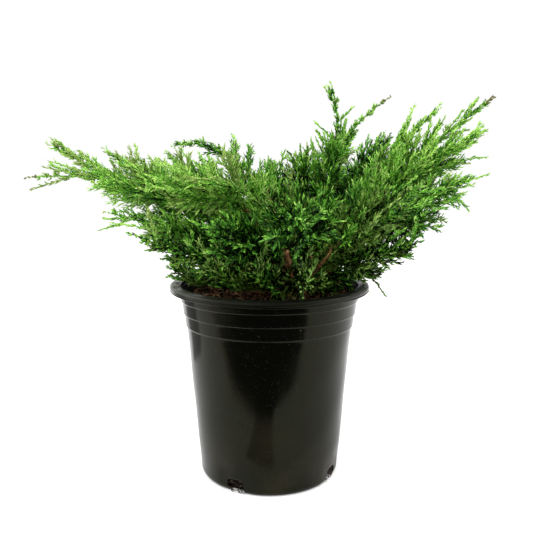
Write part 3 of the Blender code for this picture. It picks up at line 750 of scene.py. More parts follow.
def limbPath(limb):
    # a cubic Bezier curve from the trunk's bark to the tip
    height = trunkPlan["levelFoot"] + trunkPlan["levelRise"] * limb["level"]
    tip = direction(limb["azimuth"], 0) * limb["reach"]
    tip[2] = limb["height"]
    centre = trunkCentre(height)
    towards = math.degrees(math.atan2(tip[1] - centre[1], tip[0] - centre[0]))
    footAzimuth = towards + limb["swing"]
    offset = trunkRadius(height) + stemPlan["boughRadius"] * math.sin(math.radians(limb["rise"])) - stemPlan["sunk"]
    foot = centre + direction(footAzimuth, 0) * offset
    chord = np.linalg.norm(tip - foot)
    first = foot + direction(footAzimuth, limb["rise"]) * chord * 0.40
    second = tip - direction(towards - limb["swing"] / 2, limb["nod"]) * chord * 0.36
    t = np.linspace(0, 1, stemPlan["points"])[:, None]
    return (1 - t) ** 3 * foot + 3 * t * (1 - t) ** 2 * first + 3 * t**2 * (1 - t) * second + t**3 * tip


def pointsAt(path, shares):
    # the path's points at these shares of it, and its directions there
    places = np.linspace(0, 1, len(path))
    slopes = np.gradient(path, axis=0)
    here = np.stack([np.interp(shares, places, path[:, k]) for k in range(3)], -1)
    ahead = np.stack([np.interp(shares, places, slopes[:, k]) for k in range(3)], -1)
    return here, unitRows(ahead)


def pathLength(path):
    return float(np.linalg.norm(np.diff(path, axis=0), axis=1).sum())


def distances(points, lines):
    # how far each point is from each limb's line, as points by limbs
    start, span = lines[:, :-1], lines[:, 1:] - lines[:, :-1]
    away = points[:, None, None] - start[None]
    share = np.clip((away * span[None]).sum(-1) / (span**2).sum(-1)[None], 0, 1)
    return np.sqrt(((away - share[..., None] * span[None]) ** 2).sum(-1)).min(-1)


def floorUnder(points):
    # the height of the compost, the lip or nothing under each point
    radius = np.hypot(points[..., 0], points[..., 1])
    inner = potPlan["rimRadius"] - potPlan["lipWidth"] - shootPlan["potClearance"]
    outer = potPlan["rimRadius"] + shootPlan["potClearance"]
    return np.where(radius < inner, compostPlan["top"], np.where(radius < outer, potPlan["height"], 0.0))


def bladeCorners(root, out, face, length):
    # a spray's rim: its tip, two teeth a side and its root
    wide = shootPlan["halfWidth"]
    side = [(0.74, 0.22 * wide), (0.80, 0.80 * wide), (0.56, 0.36 * wide), (0.50, wide)]
    rim = np.array([(1.0, 0.0), *side, (0.0, 0.0), *[(x, -y) for x, y in reversed(side)]]) * length
    across = np.cross(face, out)
    return root + rim[:, :1] * out + rim[:, 1:] * across


def fits(corners, number, lines):
    # nearer to its own limb than to any other, and clear of pot and compost
    samples = np.concatenate([corners, (corners + np.roll(corners, 1, axis=0)) / 2])
    gaps = distances(samples, lines)
    others = np.delete(gaps, number, axis=1).min(1)
    if not (gaps[:, number] + shootPlan["margin"] < others).all():
        return False
    return bool((samples[:, 2] > floorUnder(samples) + shootPlan["potClearance"]).all())


def rotated(values, axis, angle):
    # a vector turned about an axis, by the rule of cosine, sine and the part along the axis
    along = axis * np.dot(values, axis)
    return along + (values - along) * math.cos(angle) + np.cross(axis, values) * math.sin(angle)


def shootsOf(path, number, seed, start, spread, lines):
    # the source's seeded rule: golden-angle turns, leans and lengths by place, and a try at each smaller size
    draw = random.Random(seed)
    whole = pathLength(path)
    plan = shootPlan
    count = max(8, round(whole * (1 - start) / plan["spacing"]))
    roll = draw.uniform(0, 2 * math.pi)
    found = []
    for k in range(count):
        along = (k + 0.35) / count
        share = start + (stemPlan["end"] - start) * along
        root, forward = (rows[0] for rows in pointsAt(path, np.array([share])))
        roll += plan["golden"] + draw.uniform(-0.35, 0.35)
        level = unitRows(np.cross(forward, (0, 0, 1)))
        above = np.cross(level, forward)
        sideways = level * math.cos(roll) + above * math.sin(roll)
        lean = math.radians(np.interp(along, plan["places"], plan["leans"])) + draw.uniform(-0.12, 0.12)
        length = np.interp(along, plan["places"], plan["lengths"]) * min(1.0, whole / 0.22) * spread
        length *= draw.uniform(0.85, 1.10)
        twist = draw.uniform(-plan["twist"], plan["twist"])
        for size, leanShare, turn in [(s, l, t) for s, l in plan["sizes"] for t in plan["turns"]]:
            angle = lean * leanShare
            out = forward * math.cos(angle) + sideways * math.sin(angle)
            out = unitRows(out + vector((0, 0, plan["lift"] * math.sin(angle))))
            face = unitRows(rotated(np.cross(forward, sideways), out, twist + turn))
            if fits(bladeCorners(root, out, face, length * size), number, lines):
                found.append((root, out, face, forward, length * size, number, share))
                break
    share = 1 - plan["terminal"] / whole
    root, forward = (rows[0] for rows in pointsAt(path, np.array([share])))
    level = unitRows(np.cross(forward, (0, 0, 1)))
    face = rotated(np.cross(forward, level), forward, math.pi / 2)
    found.append((root, forward, face, forward, plan["terminal"], number, share))
    return found


# Wood: trunk and boughs with flaking bark, and the thin brown twigs inside the foliage

def ridges(angles, lengths, seed):
    # strips of bark: sharp crests that wander round the stem, broken up along it
    draw = np.random.default_rng(seed)
    relief = np.zeros_like(angles)
    for count, weight in ((5, 0.5), (9, 0.3), (15, 0.2)):
        phase = draw.uniform(0, 6.28)
        wander = 0.9 * np.sin(lengths * draw.uniform(90, 170) + phase)
        breaks = 0.6 + 0.4 * np.sin(lengths * draw.uniform(300, 600) + draw.uniform(0, 6.28) + 3 * angles)
        relief += weight * (1 - np.abs(np.sin(count * angles / 2 + wander))) * breaks
    return relief - 0.4


def tubeGrid(path, radii, around, relief, seed):
    # rings square to a path: its point, plus the radius with the bark's relief, along two cross directions
    slopes = unitRows(np.gradient(path, axis=0))
    reference = vector((0.0, 0.0, 1.0)) if abs(slopes[:, 2].mean()) < 0.9 else vector((1.0, 0.0, 0.0))
    side = unitRows(np.cross(slopes, reference))
    other = np.cross(slopes, side)
    angles = np.linspace(0, 2 * math.pi, around, endpoint=False)[None]
    lengths = np.concatenate([[0], np.cumsum(np.linalg.norm(np.diff(path, axis=0), axis=1))])[:, None]
    bark = ridges(angles + 0 * lengths, lengths + 0 * angles, seed)
    radius = radii[:, None] * (1 + relief * bark)
    ring = np.cos(angles)[..., None] * side[:, None] + np.sin(angles)[..., None] * other[:, None]
    return path[:, None] + radius[..., None] * ring


def tubeFaces(rows, around, first):
    ring = np.arange(around)
    following = (ring + 1) % around
    low = first + np.arange(rows - 1)[:, None] * around
    quads = np.stack([low + ring, low + following, low + around + following, low + around + ring], -1)
    return quads.reshape(-1, 4)


def joinTubes(name, tubes):
    # several tubes in one mesh, each closed at both ends by a fan of triangles
    points, quads, triangles, first = [], [], [], 0
    for grid in tubes:
        rows, around = grid.shape[:2]
        points.append(np.concatenate([grid.reshape(-1, 3), grid[:1].mean(1), grid[-1:].mean(1)]))
        quads.append(tubeFaces(rows, around, first))
        ring = np.arange(around)
        following = (ring + 1) % around
        base = first + rows * around
        triangles.append(np.stack([np.full(around, base), first + following, first + ring], -1))
        last = first + (rows - 1) * around
        triangles.append(np.stack([np.full(around, base + 1), last + ring, last + following], -1))
        first = base + 2
    mesh = meshOf(name, np.concatenate(points), np.concatenate(quads), np.concatenate(triangles))
    faceOutward(mesh)
    return mesh


def makeTrunk(material):
    heights = np.linspace(0, trunkPlan["height"], trunkPlan["rings"])
    path = np.array([trunkCentre(h) for h in heights])
    radii = trunkRadius(heights)
    radii[-6:] *= np.linspace(1, 0.55, 6)
    grid = tubeGrid(path, radii, trunkPlan["around"], 0.16, 3)
    addPiece("trunkBark", joinTubes("trunkBark", [grid]), material, ["trunk"])


def makeBoughs(paths, material):
    # the bare stretch of each limb, swollen at its collar on the trunk
    tubes = []
    for number, path in enumerate(paths):
        reach = stemPlan["boughShare"] if number < len(mainLimbs) else stemPlan["leafless"]
        shares = np.linspace(0, reach, 22)
        line, _ = pointsAt(path, shares)
        thick = stemPlan["boughRadius"] if number < len(mainLimbs) else stemPlan["radius"]
        radii = np.interp(shares, (0, reach), (thick, stemPlan["radius"] * (0.98 if number < len(mainLimbs) else 0.9)))
        radii *= 1 + 0.35 * np.exp(-shares / 0.018)
        tubes.append(tubeGrid(line, radii, 20, 0.14, number))
    names = [f"bough_{k + 1:02d}" for k in range(len(mainLimbs))]
    addPiece("boughBark", joinTubes("boughBark", tubes), material, names)


# Foliage: shoots, side twigs and scale-leaved branchlets, each a slim rod with swollen joints

foliagePlan = dict(
    shootBow=0.22, shootLift=0.05, shootRadius=0.00080, barkShare=0.36, greenLimb=0.42, seeds=3,
    branchletRadius=0.00090, lowThick=1.22, twigRadius=0.00072, taperPlaces=(0.0, 0.5, 1.0), taper=(0.95, 0.92, 0.34),
    fullTaper=(1.0, 1.05, 0.85), upright=0.22,
    slimPlaces=(0.55, 0.72), slimShares=(1.0, 0.42), brownReach=0.016, olive=0.08,
    deepShare=0.22, deepBare=0.6, below=0.80, lowHeights=(0.25, 0.34), lowLift=0.34, glint=0.31, lowGlint=0.46, lightCell=0.007, blocking=0.0007,
)
# long slim leaders that run on beside each limb's tip
leaderRule = dict(
    shares=(0.66, 0.54, 0.76, 0.60, 0.82), usual=4, reach=0.96, longest=0.100, leans=(12, 19), breadth=0.24,
    fine=0.68, bow=0.10,
)
# single strands that stand out in the photo: the foliage they belong to, where they start and where they run
strandPlans = (
    # left arm
    dict(foliage=2, share=0.85, azimuth=173, rise=36, length=0.038, tone=0.15, breadth=0.4),
    dict(foliage=2, share=0.78, azimuth=170, rise=44, length=0.037, tone=0.10, breadth=0.6),
    dict(foliage=1, share=0.73, azimuth=181, rise=18, length=0.041, tone=0.10, breadth=0.5),
    dict(foliage=1, share=0.78, azimuth=182, rise=13, length=0.052, tone=0.15, breadth=0.35),
    dict(foliage=1, share=0.71, azimuth=178, rise=29, length=0.027, tone=0.05, breadth=0.6),
    dict(foliage=2, share=0.87, azimuth=171, rise=42, length=0.038, tone=0.15),
    dict(foliage=2, share=0.84, azimuth=177, rise=36, length=0.054, tone=0.10),
    dict(foliage=1, share=0.82, azimuth=180, rise=-17, length=0.058, tone=0.15),
    dict(foliage=1, share=0.80, azimuth=180, rise=22, length=0.040, tone=0.05),
    dict(foliage=3, share=0.79, azimuth=109, rise=60, length=0.047),
    dict(foliage=6, share=0.63, azimuth=114, rise=50, length=0.060),
    dict(foliage=6, share=0.57, azimuth=100, rise=48, length=0.059),
    dict(foliage=6, share=0.68, azimuth=130, rise=36, length=0.036, breadth=0.4),
    dict(foliage=6, share=0.60, azimuth=118, rise=40, length=0.046, breadth=0.5),
    dict(foliage=6, share=0.53, azimuth=129, rise=48, length=0.070, breadth=0.5),
    dict(foliage=6, share=0.57, azimuth=108, rise=50, length=0.068, breadth=0.5),
    dict(foliage=3, share=0.64, azimuth=157, rise=49, length=0.052, tone=0.10, breadth=0.5),
    dict(foliage=3, share=0.61, azimuth=149, rise=54, length=0.050, tone=0.05, breadth=0.5),
    # left underside
    dict(foliage=4, share=0.77, azimuth=192, rise=25, length=0.037, breadth=0.5),
    dict(foliage=4, share=0.78, azimuth=193, rise=37, length=0.029, breadth=0.5),
    dict(foliage=4, share=0.85, azimuth=195, rise=-18, length=0.040, tone=0.15),
    dict(foliage=4, share=0.86, azimuth=194, rise=0, length=0.033, breadth=0.4, tone=0.05),
    dict(foliage=24, share=0.89, azimuth=205, rise=23, length=0.033),
    dict(foliage=24, share=0.82, azimuth=208, rise=-4, length=0.025),
    # bright arching shoots before the left half
    dict(foliage=5, share=0.59, azimuth=214, rise=-15, length=0.050, tone=0.30),
    dict(foliage=19, share=0.20, azimuth=214, rise=26, length=0.160, droop=0.85, tone=0.75, breadth=0.35, olive=True,
         stout=1.6),
    dict(foliage=19, share=0.24, azimuth=212, rise=24, length=0.150, droop=0.82, tone=0.45, breadth=0.45),
    # filling between the left arm and its underside
    dict(foliage=4, share=0.60, azimuth=190, rise=50, length=0.036, breadth=0.8),
    dict(foliage=4, share=0.48, azimuth=200, rise=50, length=0.040, breadth=0.8),
    dict(foliage=4, share=0.70, azimuth=185, rise=50, length=0.030, breadth=0.7),
    # dark inner crown
    dict(foliage=20, share=0.93, azimuth=235, rise=16, length=0.040, breadth=0.6),
    dict(foliage=7, share=0.22, azimuth=158, rise=22, length=0.045, breadth=0.6),
    dict(foliage=23, share=0.72, azimuth=162, rise=57, length=0.041, breadth=0.5),
    dict(foliage=9, share=0.75, azimuth=10, rise=75, length=0.056, breadth=0.6),
    dict(foliage=9, share=0.72, azimuth=30, rise=62, length=0.036, breadth=0.7),
    dict(foliage=9, share=0.80, azimuth=40, rise=74, length=0.030, breadth=0.6),
    dict(foliage=9, share=0.62, azimuth=20, rise=64, length=0.040, breadth=0.8),
    dict(foliage=23, share=0.78, azimuth=163, rise=55, length=0.037, breadth=0.5),
    dict(foliage=11, share=0.38, azimuth=130, rise=70, length=0.058, breadth=0.7),
    dict(foliage=23, share=0.65, azimuth=154, rise=70, length=0.044, breadth=0.6),
    dict(foliage=23, share=0.83, azimuth=144, rise=78, length=0.031, breadth=0.5),
    dict(foliage=23, share=0.56, azimuth=64, rise=82, length=0.056, breadth=0.6),
    dict(foliage=11, share=0.34, azimuth=121, rise=77, length=0.061, breadth=0.6),
    dict(foliage=11, share=0.43, azimuth=108, rise=78, length=0.046, breadth=0.5),
    dict(foliage=12, share=0.59, azimuth=58, rise=61, length=0.090, breadth=0.4),
    dict(foliage=12, share=0.70, azimuth=49, rise=56, length=0.072, breadth=0.4),
    dict(foliage=12, share=0.65, azimuth=78, rise=60, length=0.064, breadth=0.4),
    # spikes
    dict(foliage=10, share=0.85, azimuth=175, rise=59, length=0.028, tone=0.10, breadth=0.4),
    dict(foliage=10, share=0.80, azimuth=176, rise=72, length=0.036, tone=0.10, breadth=0.4),
    dict(foliage=11, share=0.55, azimuth=20, rise=69, length=0.047, breadth=0.6),
    dict(foliage=11, share=0.58, azimuth=53, rise=78, length=0.044, breadth=0.6),
    dict(foliage=11, share=0.56, azimuth=9, rise=43, length=0.032, breadth=0.7),
    dict(foliage=11, share=0.47, azimuth=139, rise=64, length=0.040, breadth=0.6),
    dict(foliage=11, share=0.51, azimuth=131, rise=69, length=0.039, breadth=0.6),
    dict(foliage=12, share=0.73, azimuth=78, rise=58, length=0.050, breadth=0.5),
    dict(foliage=11, share=0.58, azimuth=29, rise=73, length=0.041, breadth=0.6),
    dict(foliage=11, share=0.58, azimuth=11, rise=56, length=0.040, breadth=0.6),
    dict(foliage=11, share=0.55, azimuth=20, rise=44, length=0.044, breadth=0.6),
    dict(foliage=10, share=0.54, azimuth=166, rise=57, length=0.042, breadth=0.6),
    dict(foliage=10, share=0.59, azimuth=165, rise=44, length=0.028, breadth=0.6),
    dict(foliage=10, share=0.64, azimuth=167, rise=43, length=0.038),
    dict(foliage=10, share=0.76, azimuth=0, rise=45, length=0.026),
    dict(foliage=11, share=0.69, azimuth=8, rise=47, length=0.021),
    # right plume
    dict(foliage=13, share=0.77, azimuth=16, rise=50, length=0.040),
    dict(foliage=13, share=0.82, azimuth=17, rise=44, length=0.055, breadth=0.35),
    dict(foliage=13, share=0.72, azimuth=35, rise=62, length=0.042, breadth=0.6),
    dict(foliage=13, share=0.69, azimuth=42, rise=65, length=0.039, breadth=0.6),
    dict(foliage=13, share=0.70, azimuth=35, rise=63, length=0.051, breadth=0.5),
    dict(foliage=13, share=0.68, azimuth=38, rise=64, length=0.044, breadth=0.6),
    dict(foliage=13, share=0.74, azimuth=19, rise=49, length=0.045, breadth=0.5),
    dict(foliage=14, share=0.65, azimuth=7, rise=59, length=0.039, breadth=0.5),
    dict(foliage=14, share=0.73, azimuth=359, rise=32, length=0.045, breadth=0.5),
    dict(foliage=14, share=0.73, azimuth=0, rise=17, length=0.037, breadth=0.6),
    dict(foliage=14, share=0.65, azimuth=31, rise=72, length=0.039, breadth=0.5),
    dict(foliage=14, share=0.66, azimuth=11, rise=63, length=0.040, breadth=0.5),
    dict(foliage=14, share=0.76, azimuth=5, rise=53, length=0.036, breadth=0.4),
    dict(foliage=14, share=0.81, azimuth=4, rise=52, length=0.044),
    dict(foliage=14, share=0.84, azimuth=0, rise=39, length=0.048),
    dict(foliage=14, share=0.66, azimuth=6, rise=58, length=0.046),
    dict(foliage=14, share=0.86, azimuth=11, rise=59, length=0.028),
    dict(foliage=15, share=0.73, azimuth=353, rise=6, length=0.067),
    dict(foliage=15, share=0.71, azimuth=353, rise=3, length=0.050, breadth=0.4),
    dict(foliage=15, share=0.69, azimuth=352, rise=10, length=0.053, breadth=0.4),
    dict(foliage=16, share=0.73, azimuth=345, rise=15, length=0.049, breadth=0.5),
    dict(foliage=16, share=0.71, azimuth=344, rise=8, length=0.041, breadth=0.6),
    dict(foliage=16, share=0.77, azimuth=345, rise=21, length=0.038, breadth=0.5),
    dict(foliage=16, share=0.61, azimuth=345, rise=44, length=0.049, breadth=0.6),
    dict(foliage=16, share=0.74, azimuth=345, rise=29, length=0.041, breadth=0.4),
    dict(foliage=16, share=0.82, azimuth=345, rise=16, length=0.044),
    dict(foliage=16, share=0.78, azimuth=345, rise=19, length=0.033, breadth=0.5),
    dict(foliage=16, share=0.79, azimuth=347, rise=-40, length=0.039, droop=0.3, breadth=0.7),
    dict(foliage=16, share=0.77, azimuth=348, rise=-42, length=0.030, breadth=0.7),
    dict(foliage=18, share=0.87, azimuth=314, rise=11, length=0.049, tone=0.20),
    # low right
    dict(foliage=17, share=0.74, azimuth=337, rise=19, length=0.038, breadth=0.5),
    dict(foliage=17, share=0.66, azimuth=335, rise=-75, length=0.026, breadth=0.9),
    dict(foliage=17, share=0.74, azimuth=335, rise=-70, length=0.024, breadth=0.9),
    dict(foliage=25, share=0.77, azimuth=318, rise=39, length=0.039, breadth=0.6),
    dict(foliage=25, share=0.84, azimuth=322, rise=33, length=0.039, breadth=0.5),
    dict(foliage=25, share=0.65, azimuth=324, rise=2, length=0.027, breadth=0.7),
    dict(foliage=25, share=0.85, azimuth=324, rise=24, length=0.034, breadth=0.5),
    dict(foliage=25, share=0.83, azimuth=325, rise=16, length=0.028, breadth=0.6),
    dict(foliage=17, share=0.62, azimuth=330, rise=-50, length=0.034, breadth=0.9),
    dict(foliage=17, share=0.71, azimuth=335, rise=-45, length=0.028, breadth=0.8),
    dict(foliage=17, share=0.67, azimuth=332, rise=-20, length=0.030, breadth=0.6),
    dict(foliage=17, share=0.57, azimuth=331, rise=-22, length=0.034, breadth=0.9),
    dict(foliage=17, share=0.48, azimuth=327, rise=-20, length=0.040, breadth=0.9),
    dict(foliage=25, share=0.56, azimuth=322, rise=44, length=0.050, breadth=0.9),
    dict(foliage=25, share=0.77, azimuth=324, rise=28, length=0.042, breadth=0.6),
    dict(foliage=25, share=0.64, azimuth=319, rise=39, length=0.050, breadth=0.7),
    dict(foliage=30, share=0.47, azimuth=97, rise=80, length=0.034, breadth=0.8),
    # hanging to the compost behind the left lip
    dict(foliage=26, share=0.76, azimuth=112, rise=-28, length=0.048, tone=0.10, breadth=0.8),
    dict(foliage=26, share=0.66, azimuth=118, rise=-32, length=0.040, tone=0.10, breadth=0.8),
    dict(foliage=26, share=0.86, azimuth=100, rise=-30, length=0.045, tone=0.10, breadth=0.7),
    dict(foliage=26, share=0.58, azimuth=125, rise=-25, length=0.040, breadth=0.8),
    dict(foliage=26, share=0.80, azimuth=235, rise=-45, length=0.036, tone=0.15, breadth=0.9),
    dict(foliage=26, share=0.70, azimuth=240, rise=-50, length=0.036, tone=0.10, breadth=0.9),
    dict(foliage=26, share=0.88, azimuth=262, rise=-42, length=0.034, tone=0.10, breadth=0.9),
    dict(foliage=30, share=0.50, azimuth=285, rise=-50, length=0.026, tone=0.05, breadth=0.9),
    dict(foliage=30, share=0.58, azimuth=265, rise=-42, length=0.028, tone=0.05, breadth=0.9),
    # before the trunk
    dict(foliage=19, share=0.22, azimuth=240, rise=40, length=0.036, breadth=0.9),
    dict(foliage=19, share=0.30, azimuth=285, rise=20, length=0.034, breadth=0.9),
    dict(foliage=29, share=0.30, azimuth=262, rise=70, length=0.040, breadth=0.9),
    dict(foliage=29, share=0.45, azimuth=240, rise=65, length=0.040, breadth=0.9),
    dict(foliage=28, share=0.35, azimuth=280, rise=75, length=0.040, breadth=0.9),
    # over the lip
    dict(foliage=30, share=0.66, azimuth=333, rise=-45, length=0.043, droop=0.6, tone=0.05),
    dict(foliage=30, share=0.54, azimuth=317, rise=-40, length=0.038, droop=0.7),
    dict(foliage=29, share=0.90, azimuth=262, rise=-20, length=0.034, droop=0.4),
)
# shoots that stand upright on the low limbs near the lip
uprightRule = dict(
    foliages=(26, 27, 28, 29, 24, 25), low=0.25, high=0.98, count=9, lengths=(0.026, 0.044), rise=(60, 82), tone=0.20,
)
# gaps in the foliage as seen from the front: before the compost, and before two brown stems
sightGaps = (
    dict(low=(-0.084, 0.030, 0.2055), high=(-0.066, 0.030, 0.2050), width=0.0075),
    dict(low=(-0.058, 0.030, 0.2035), high=(-0.002, 0.030, 0.2035), width=0.0042),
    dict(low=(0.025, -0.030, 0.232), high=(0.018, -0.030, 0.268), width=0.0019),
    dict(low=(0.047, -0.030, 0.234), high=(0.069, -0.030, 0.268), width=0.0021),
)
# short upright shoots round the foot of each limb, which close the crown over the compost
basalRule = dict(
    low=0.04, high=0.36, count=7, backHigh=0.62, backCount=13, lengths=(0.030, 0.050), forward=0.50, sideways=0.55, up=0.60, tone=0.04, bow=0.30,
)
# side twigs on a shoot, and branchlets on shoots and side twigs; profile is the length along the parent
sideRule = dict(
    scaledBy="breadth", spacing=0.0056, lowSpacing=1.0, start=0.06, end=0.90, angles=(36, 28, 17), roll=0.55, jitter=0.10, lift=0.05,
    longest=0.040, share=0.46, places=(0.0, 0.15, 0.45, 0.8, 1.0), profile=(0.60, 1.0, 1.0, 0.66, 0.30), least=0.0050,
    bend=0.10, vary=(0.60, 1.15), fewest=3,
)
tipRule = dict(
    scaledBy="fine", spacing=0.00195, lowSpacing=1.35, start=0.10, end=0.90, angles=(35, 28, 17), roll=0.75, jitter=0.11, lift=0.04,
    longest=0.0128, share=0.68, places=(0.0, 0.2, 0.6, 1.0), profile=(0.70, 1.0, 0.85, 0.50), least=0.0032,
    bend=0.10, vary=(0.65, 1.12), fewest=2,
)
# rings of a rod, as shares of its length and of its radius: the last ring runs out to a point
branchletRings = ((0.0, 0.60), (0.48, 1.0))
twigRings = ((0.0, 0.85), (0.33, 1.0), (0.68, 0.85))
shootRings = ((0.0, 1.0), (0.2, 0.95), (0.4, 0.85), (0.6, 0.75), (0.8, 0.62))
# the greens from dark to bright, dealt out by the light each twig gets: the darker ones are painted shade deep in the
# crown and the brighter ones painted light outside
greens = dict(
    foliageShade=(0.0013, 0.0060, 0.0006), foliageDeep=(0.0100, 0.041, 0.0026), foliageBlue=(0.0240, 0.100, 0.0090),
    foliageMid=(0.046, 0.166, 0.0094), foliageFresh=(0.084, 0.254, 0.0185), foliageBright=(0.152, 0.358, 0.0370),
    foliageTips=(0.262, 0.450, 0.084),
)
# the yellower family of old and low shoots, and the brown ends of long leaders
olives = dict(
    oliveDeep=(0.014, 0.032, 0.0036), oliveMid=(0.066, 0.138, 0.0155), oliveFresh=(0.126, 0.238, 0.038),
    oliveTips=(0.235, 0.335, 0.080), brownEnds=(0.105, 0.095, 0.034),
)
oliveLevels = (0, 0, 1, 1, 2, 2, 3)
greenShares = (0.235, 0.38, 0.52, 0.66, 0.80, 0.925)
# where light comes from: an axis, whether from its upper end, and how much of it
lightSides = ((2, True, 0.36), (1, False, 0.30), (1, True, 0.12), (0, False, 0.11), (0, True, 0.11))
leafGloss = dict(foliageShade=0.05, foliageShadeBack=0.05, foliageDeep=0.10, foliageBlue=0.16, oliveDeep=0.10)


def alongTwig(twigs, which, share):
    # root + along * length * share + bend * length * share squared, and the direction there
    share = share[:, None]
    length = twigs["length"][which][:, None]
    along, bend = twigs["along"][which], twigs["bend"][which]
    place = twigs["root"][which] + length * (along * share + bend * share**2)
    return place, unitRows(along + 2 * bend * share)


def grownFrom(parents, rule, draw):
    # children stand on both sides of each parent in turn, leaning forward more and growing shorter to its tip
    span = rule["end"] - rule["start"]
    spacing = rule["spacing"] * np.where(parents["limb"] < len(mainLimbs), 1.0, rule["lowSpacing"])
    counts = np.maximum(rule["fewest"], (parents["length"] * span / spacing).astype(int))
    which = np.repeat(np.arange(len(counts)), counts)
    order = np.arange(len(which)) - np.repeat(np.cumsum(counts) - counts, counts)
    share = rule["start"] + span * (order + draw.uniform(0.2, 0.8, len(which))) / counts[which]
    root, forward = alongTwig(parents, which, share)
    face = parents["face"][which]
    across = unitRows(np.cross(face, forward))
    roll = draw.normal(0, rule["roll"], len(which))[:, None]
    hand = (1 - 2 * (order % 2))[:, None]
    sideways = across * hand * np.cos(roll) + face * np.sin(roll)
    angle = np.radians(np.interp(share, (0, 0.5, 1), rule["angles"])) + draw.normal(0, rule["jitter"], len(which))
    out = forward * np.cos(angle)[:, None] + sideways * np.sin(angle)[:, None]
    out[:, 2] += rule["lift"]
    out = unitRows(out)
    length = np.minimum(rule["longest"], rule["share"] * parents["length"][which]) * parents[rule["scaledBy"]][which]
    length = length * np.interp(share, rule["places"], rule["profile"]) * draw.uniform(*rule["vary"], len(which))
    length = np.maximum(length, rule["least"])
    bend = forward * rule["bend"]
    bend[:, 2] += rule["bend"] * 0.4
    return dict(
        root=root, along=out - bend, bend=bend, face=unitRows(np.cross(out, np.cross(face, out)) + 1e-6),
        length=length, limb=parents["limb"][which], reach=parents["reach"][which] + share * parents["gain"][which],
        gain=parents["gain"][which] * 0.35, light=parents["light"][which], breadth=np.ones(len(which)),
        fine=parents["fine"][which], olive=parents["olive"][which], stout=np.ones(len(which)),
    )


def joined(groups):
    return {key: np.concatenate([group[key] for group in groups]) for key in groups[0]}


def kept(twigs, keep):
    return {key: values[keep] for key, values in twigs.items()}


def clearOfPot(twigs):
    # a twig stays if its root, middle and tip are over the compost or the lip
    good = np.ones(len(twigs["length"]), bool)
    everyone = np.arange(len(good))
    for share in (0.0, 0.5, 1.0):
        place, _ = alongTwig(twigs, everyone, np.full(len(good), share))
        good &= place[:, 2] > floorUnder(place) + lipLift(place[:, 1], place[:, 2]) + 0.0012
        for plan in sightGaps:
            good &= ~before(place, plan)
    return kept(twigs, good)


def lineDistance(places, start, end):
    # how far each place is from a straight piece of line
    span = end - start
    share = np.clip(((places - start) @ span) / (span @ span), 0, 1)
    return np.linalg.norm(places - start - share[:, None] * span, axis=1)


def before(places, plan):
    # whether a place lies before a line as seen from the front, within a width of it
    eye = vector(cameraPlan["place"])
    low, high = vector(plan["low"]), vector(plan["high"])
    scale = (low[1] - eye[1]) / np.maximum(places[:, 1] - eye[1], 0.05)
    seen = eye + (places - eye) * scale[:, None]
    flat = (1, 0, 1)
    return (lineDistance(seen * flat, low * flat, high * flat) < plan["width"]) & (places[:, 1] < low[1])


def rodMesh(twigs, rings, radius, sides=3, start=0.0):
    # every rod at once: rings about its curved line, each turned half a side from the last, then a point
    count = len(twigs["length"])
    everyone = np.arange(count)
    rows = []
    for k, (share, thick) in enumerate(rings):
        centre, forward = alongTwig(twigs, everyone, np.full(count, start + (1 - start) * share))
        side = unitRows(np.cross(twigs["face"], forward))
        other = np.cross(forward, side)
        angles = 2 * math.pi * np.arange(sides) / sides + k * math.pi / sides
        ring = np.cos(angles)[None, :, None] * side[:, None] + np.sin(angles)[None, :, None] * other[:, None]
        rows.append(centre[:, None] + radius * thick * twigs["thick"][:, None, None] * ring)
    tip, _ = alongTwig(twigs, everyone, np.ones(count))
    points = np.concatenate([*rows, tip[:, None]], axis=1)
    ring = np.arange(sides)
    following = (ring + 1) % sides
    faces = [np.stack([ring * 0, following, ring], -1)[1:-1] if sides > 3 else np.array([(0, 2, 1)])]
    for k in range(len(rings) - 1):
        low, high = k * sides, (k + 1) * sides
        faces.append(np.stack([low + ring, low + following, high + ring], -1))
        faces.append(np.stack([low + following, high + following, high + ring], -1))
    last = (len(rings) - 1) * sides
    faces.append(np.stack([last + ring, last + following, np.full(sides, len(rings) * sides)], -1))
    faces = np.concatenate(faces)
    triangles = faces[None] + points.shape[1] * everyone[:, None, None]
    return points.reshape(-1, 3), triangles.reshape(-1, 3)


def joinParts(parts):
    # the points of all parts after one another, and their triangles counted on
    firsts = np.cumsum([0] + [len(points) for points, triangles in parts])
    triangles = [faces + first for (points, faces), first in zip(parts, firsts)]
    return np.concatenate([points for points, faces in parts]), np.concatenate(triangles)


def limbValues(key, usual):
    # one value for each limb, and the usual one where its dictionary holds none
    return np.array([limb.get(key, usual) for limb in mainLimbs + lowLimbs])


def slimmed(share, limb):
    # slim limbs run out into a bare-looking whip: everything on their outer part is shorter
    slim = np.broadcast_to(limbValues("slim", False)[limb], share.shape)
    return np.where(slim, np.interp(share, foliagePlan["slimPlaces"], foliagePlan["slimShares"]), 1.0)


